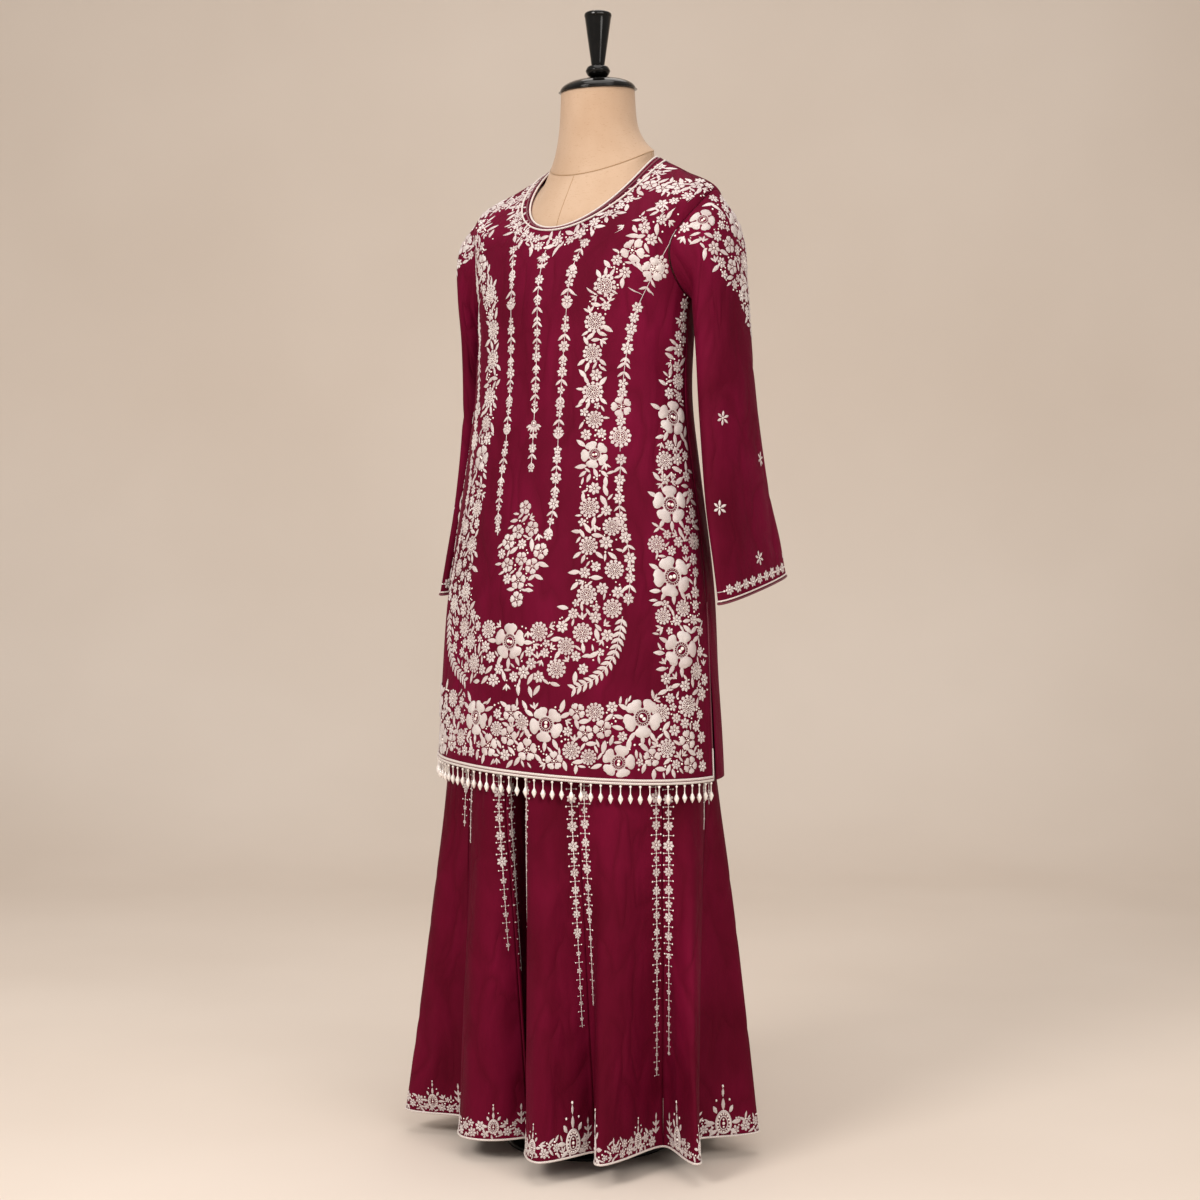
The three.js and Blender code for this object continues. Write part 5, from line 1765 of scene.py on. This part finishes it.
def drop_motif():
    """A round bead, a thin thread and a faceted drop, hanging down -Z."""
    drop = Motif()
    profile = [(0.05, -0.2), (1.5, -1.0), (1.9, -2.2), (1.3, -3.4), (0.7, -4.2), (0.75, -8),
               (0.85, -12.5), (1.9, -14.0), (3.6, -18.2), (2.4, -21.5), (0.9, -24.4),
               (0.05, -25.6)]
    for radius, height in profile:
        for i in range(8):
            turn = i / 8 * TAU
            drop.positions.append([radius * MM * math.cos(turn), radius * MM * math.sin(turn),
                                   height * MM])
            drop.uvs.append([turn * MM, height * MM])
    drop.faces += grid_faces(len(profile), 8, True, 0, True).tolist()
    return drop.object("drop", BEADS)


hem_line = front.points[0]
spread = np.pad(np.cumsum(np.linalg.norm(np.diff(hem_line, axis=0), axis=1)), (1, 0))
spots = np.arange(0.006, spread[-1] - 0.003, DROP_PITCH)
hang = np.stack([np.interp(spots, spread, hem_line[:, k]) for k in range(3)], -1)
outwards = np.stack([np.interp(spots, spread, front.normals[0, :, k]) for k in range(3)], -1)
hang += outwards * 1.2 * MM
hang[:, 2] -= 0.4 * MM
rng = np.random.default_rng(5)
made = scattered(hang, {"turn": rng.uniform(0, TAU, len(hang)), "size": np.full(len(hang), 1.0)},
                 drop_motif(), BEADS, 9, 0.04)
at, found, uv, _ = mesh_arrays(made)
bpy.data.meshes.remove(made)
drops = build("hem_drops", at, found, uv, [BEADS])
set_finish(drops, "beads")
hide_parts("drop_fringe")
print("drops:", len(hang))

# %% [markdown]
# ## The gores' pieces
# A loop goes over each gore's piece and does nothing with it.

# %% A loop over the gores' pieces
for (side_name, number), piece in gore_pieces.items():
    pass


# %% [markdown]
# ## Studio
# A plain paper sweep gives floor and backdrop without a corner. The light is soft: a key and a fill
# from the front, a large one above, one that lifts the floor, and a weak one from behind.

# %% Floor and backdrop
AZIMUTH = math.radians(35)
TOWARDS_CAMERA = np.array([math.sin(AZIMUTH), -math.cos(AZIMUTH), 0])
ACROSS = np.array([math.cos(AZIMUTH), math.sin(AZIMUTH), 0])


def backdrop_material():
    """Matt coloured paper: broad, faint clouds and a fine tooth."""
    m = Shading("backdrop_paper", Roughness=0.95, Specular_IOR_Level=0.1)
    cloud = m.add("TexNoise", {"Vector": m.where(patches(1111, 1111, 1111), "Object"), "Scale": 1.0,
                               "Detail": 3.0})
    fibre = m.add("TexNoise", {"Vector": m.where(patches(5.556, 5.556, 5.556), "Object"), "Scale": 1.0,
                               "Detail": 2.0})
    tone = m.mix(m.ramp(cloud, 0.3, 0.7), srgb("#ded1c4"), srgb("#e6dace"))
    m.set(m.surface, {"Base Color": tone, "Normal": m.bump(fibre, 0.05, 0.5 * MM)})
    return m.material


# metres ahead of the form and up: the floor, a quarter round, and the wall
BEND_START, BEND = -2.2, 1.3
profile = [(12.0, 0.0), (4.0, 0.0), (BEND_START, 0.0)]
profile += [(BEND_START - BEND * math.sin(a), BEND - BEND * math.cos(a))
            for a in np.linspace(0.1, math.pi / 2, 14)]
profile += [(BEND_START - BEND, 6.0)]
sides = np.linspace(-9, 9, 3)
rows = np.array([[AXIS + TOWARDS_CAMERA * ahead + ACROSS * side + (0, 0, height)
                  for side in sides] for ahead, height in profile])
mesh = bpy.data.meshes.new("studio_sweep")
mesh.from_pydata(rows.reshape(-1, 3).tolist(), [], grid_faces(len(profile), 3).tolist())
mesh.materials.append(backdrop_material())
mesh.shade_smooth()
sweep = bpy.data.objects.new("studio_sweep", mesh)
bpy.context.scene.collection.objects.link(sweep)


# %% Lights
def softbox(name, across, ahead, height, size, power, aim=(0, 0, 0.9)):
    """A round area light, placed and aimed in metres, with its size in metres and watts."""
    light = bpy.data.lights.new(name, "AREA")
    light.shape, light.size, light.energy = "DISK", size, power
    light.color = srgb("#fffaf6")[:3]
    obj = bpy.data.objects.new(name, light)
    place = Vector(AXIS + TOWARDS_CAMERA * ahead + ACROSS * across + (0, 0, height))
    obj.location = place
    target = Vector(AXIS + ACROSS * aim[0] + TOWARDS_CAMERA * aim[1] + (0, 0, aim[2]))
    obj.rotation_euler = (target - place).to_track_quat("-Z", "Y").to_euler()
    bpy.context.scene.collection.objects.link(obj)


softbox("key", -2.0, 2.3, 2.5, 1.3, 66)
softbox("fill", 1.9, 2.9, 2.2, 1.8, 40)
softbox("top", 0.0, 0.4, 3.9, 2.4, 34)
softbox("back", 0.3, -1.7, 3.9, 2.0, 14)
softbox("floor_glow", 0.3, 2.9, 2.2, 1.6, 22, aim=(0, 2.0, 0))
world = bpy.data.worlds.new("studio")
world.use_nodes = True
world.node_tree.nodes["Background"].inputs["Color"].default_value = srgb("#fffaf5")
world.node_tree.nodes["Background"].inputs["Strength"].default_value = 0.42
bpy.context.scene.world = world
bpy.context.scene.view_settings.view_transform = "Standard"
print("lights:", len(bpy.data.lights))

# %% [markdown]
# ## Camera
# A level camera three metres away, at half the form's height, keeps uprights upright. A small shift
# frames the whole suit without tilting it.

# %% Camera
camera = bpy.data.cameras.new("camera")
camera.lens, camera.sensor_width = 63.0, 36.0
camera.shift_x, camera.shift_y = 0.0017, -0.0508
camera_object = bpy.data.objects.new("camera", camera)
camera_object.location = AXIS + TOWARDS_CAMERA * 3.0 + (0, 0, 0.85)
camera_object.rotation_euler = (math.radians(90), 0, AZIMUTH)
bpy.context.scene.collection.objects.link(camera_object)
bpy.context.scene.camera = camera_object

# %% [markdown]
# ## Finish
# The flat motifs were only patterns for the node group, so they are removed.

# %% Clear and finish
for motif in MOTIFS.values():
    for obj in (motif["thread"], motif["beads"]):
        if obj:
            bpy.data.objects.remove(obj)
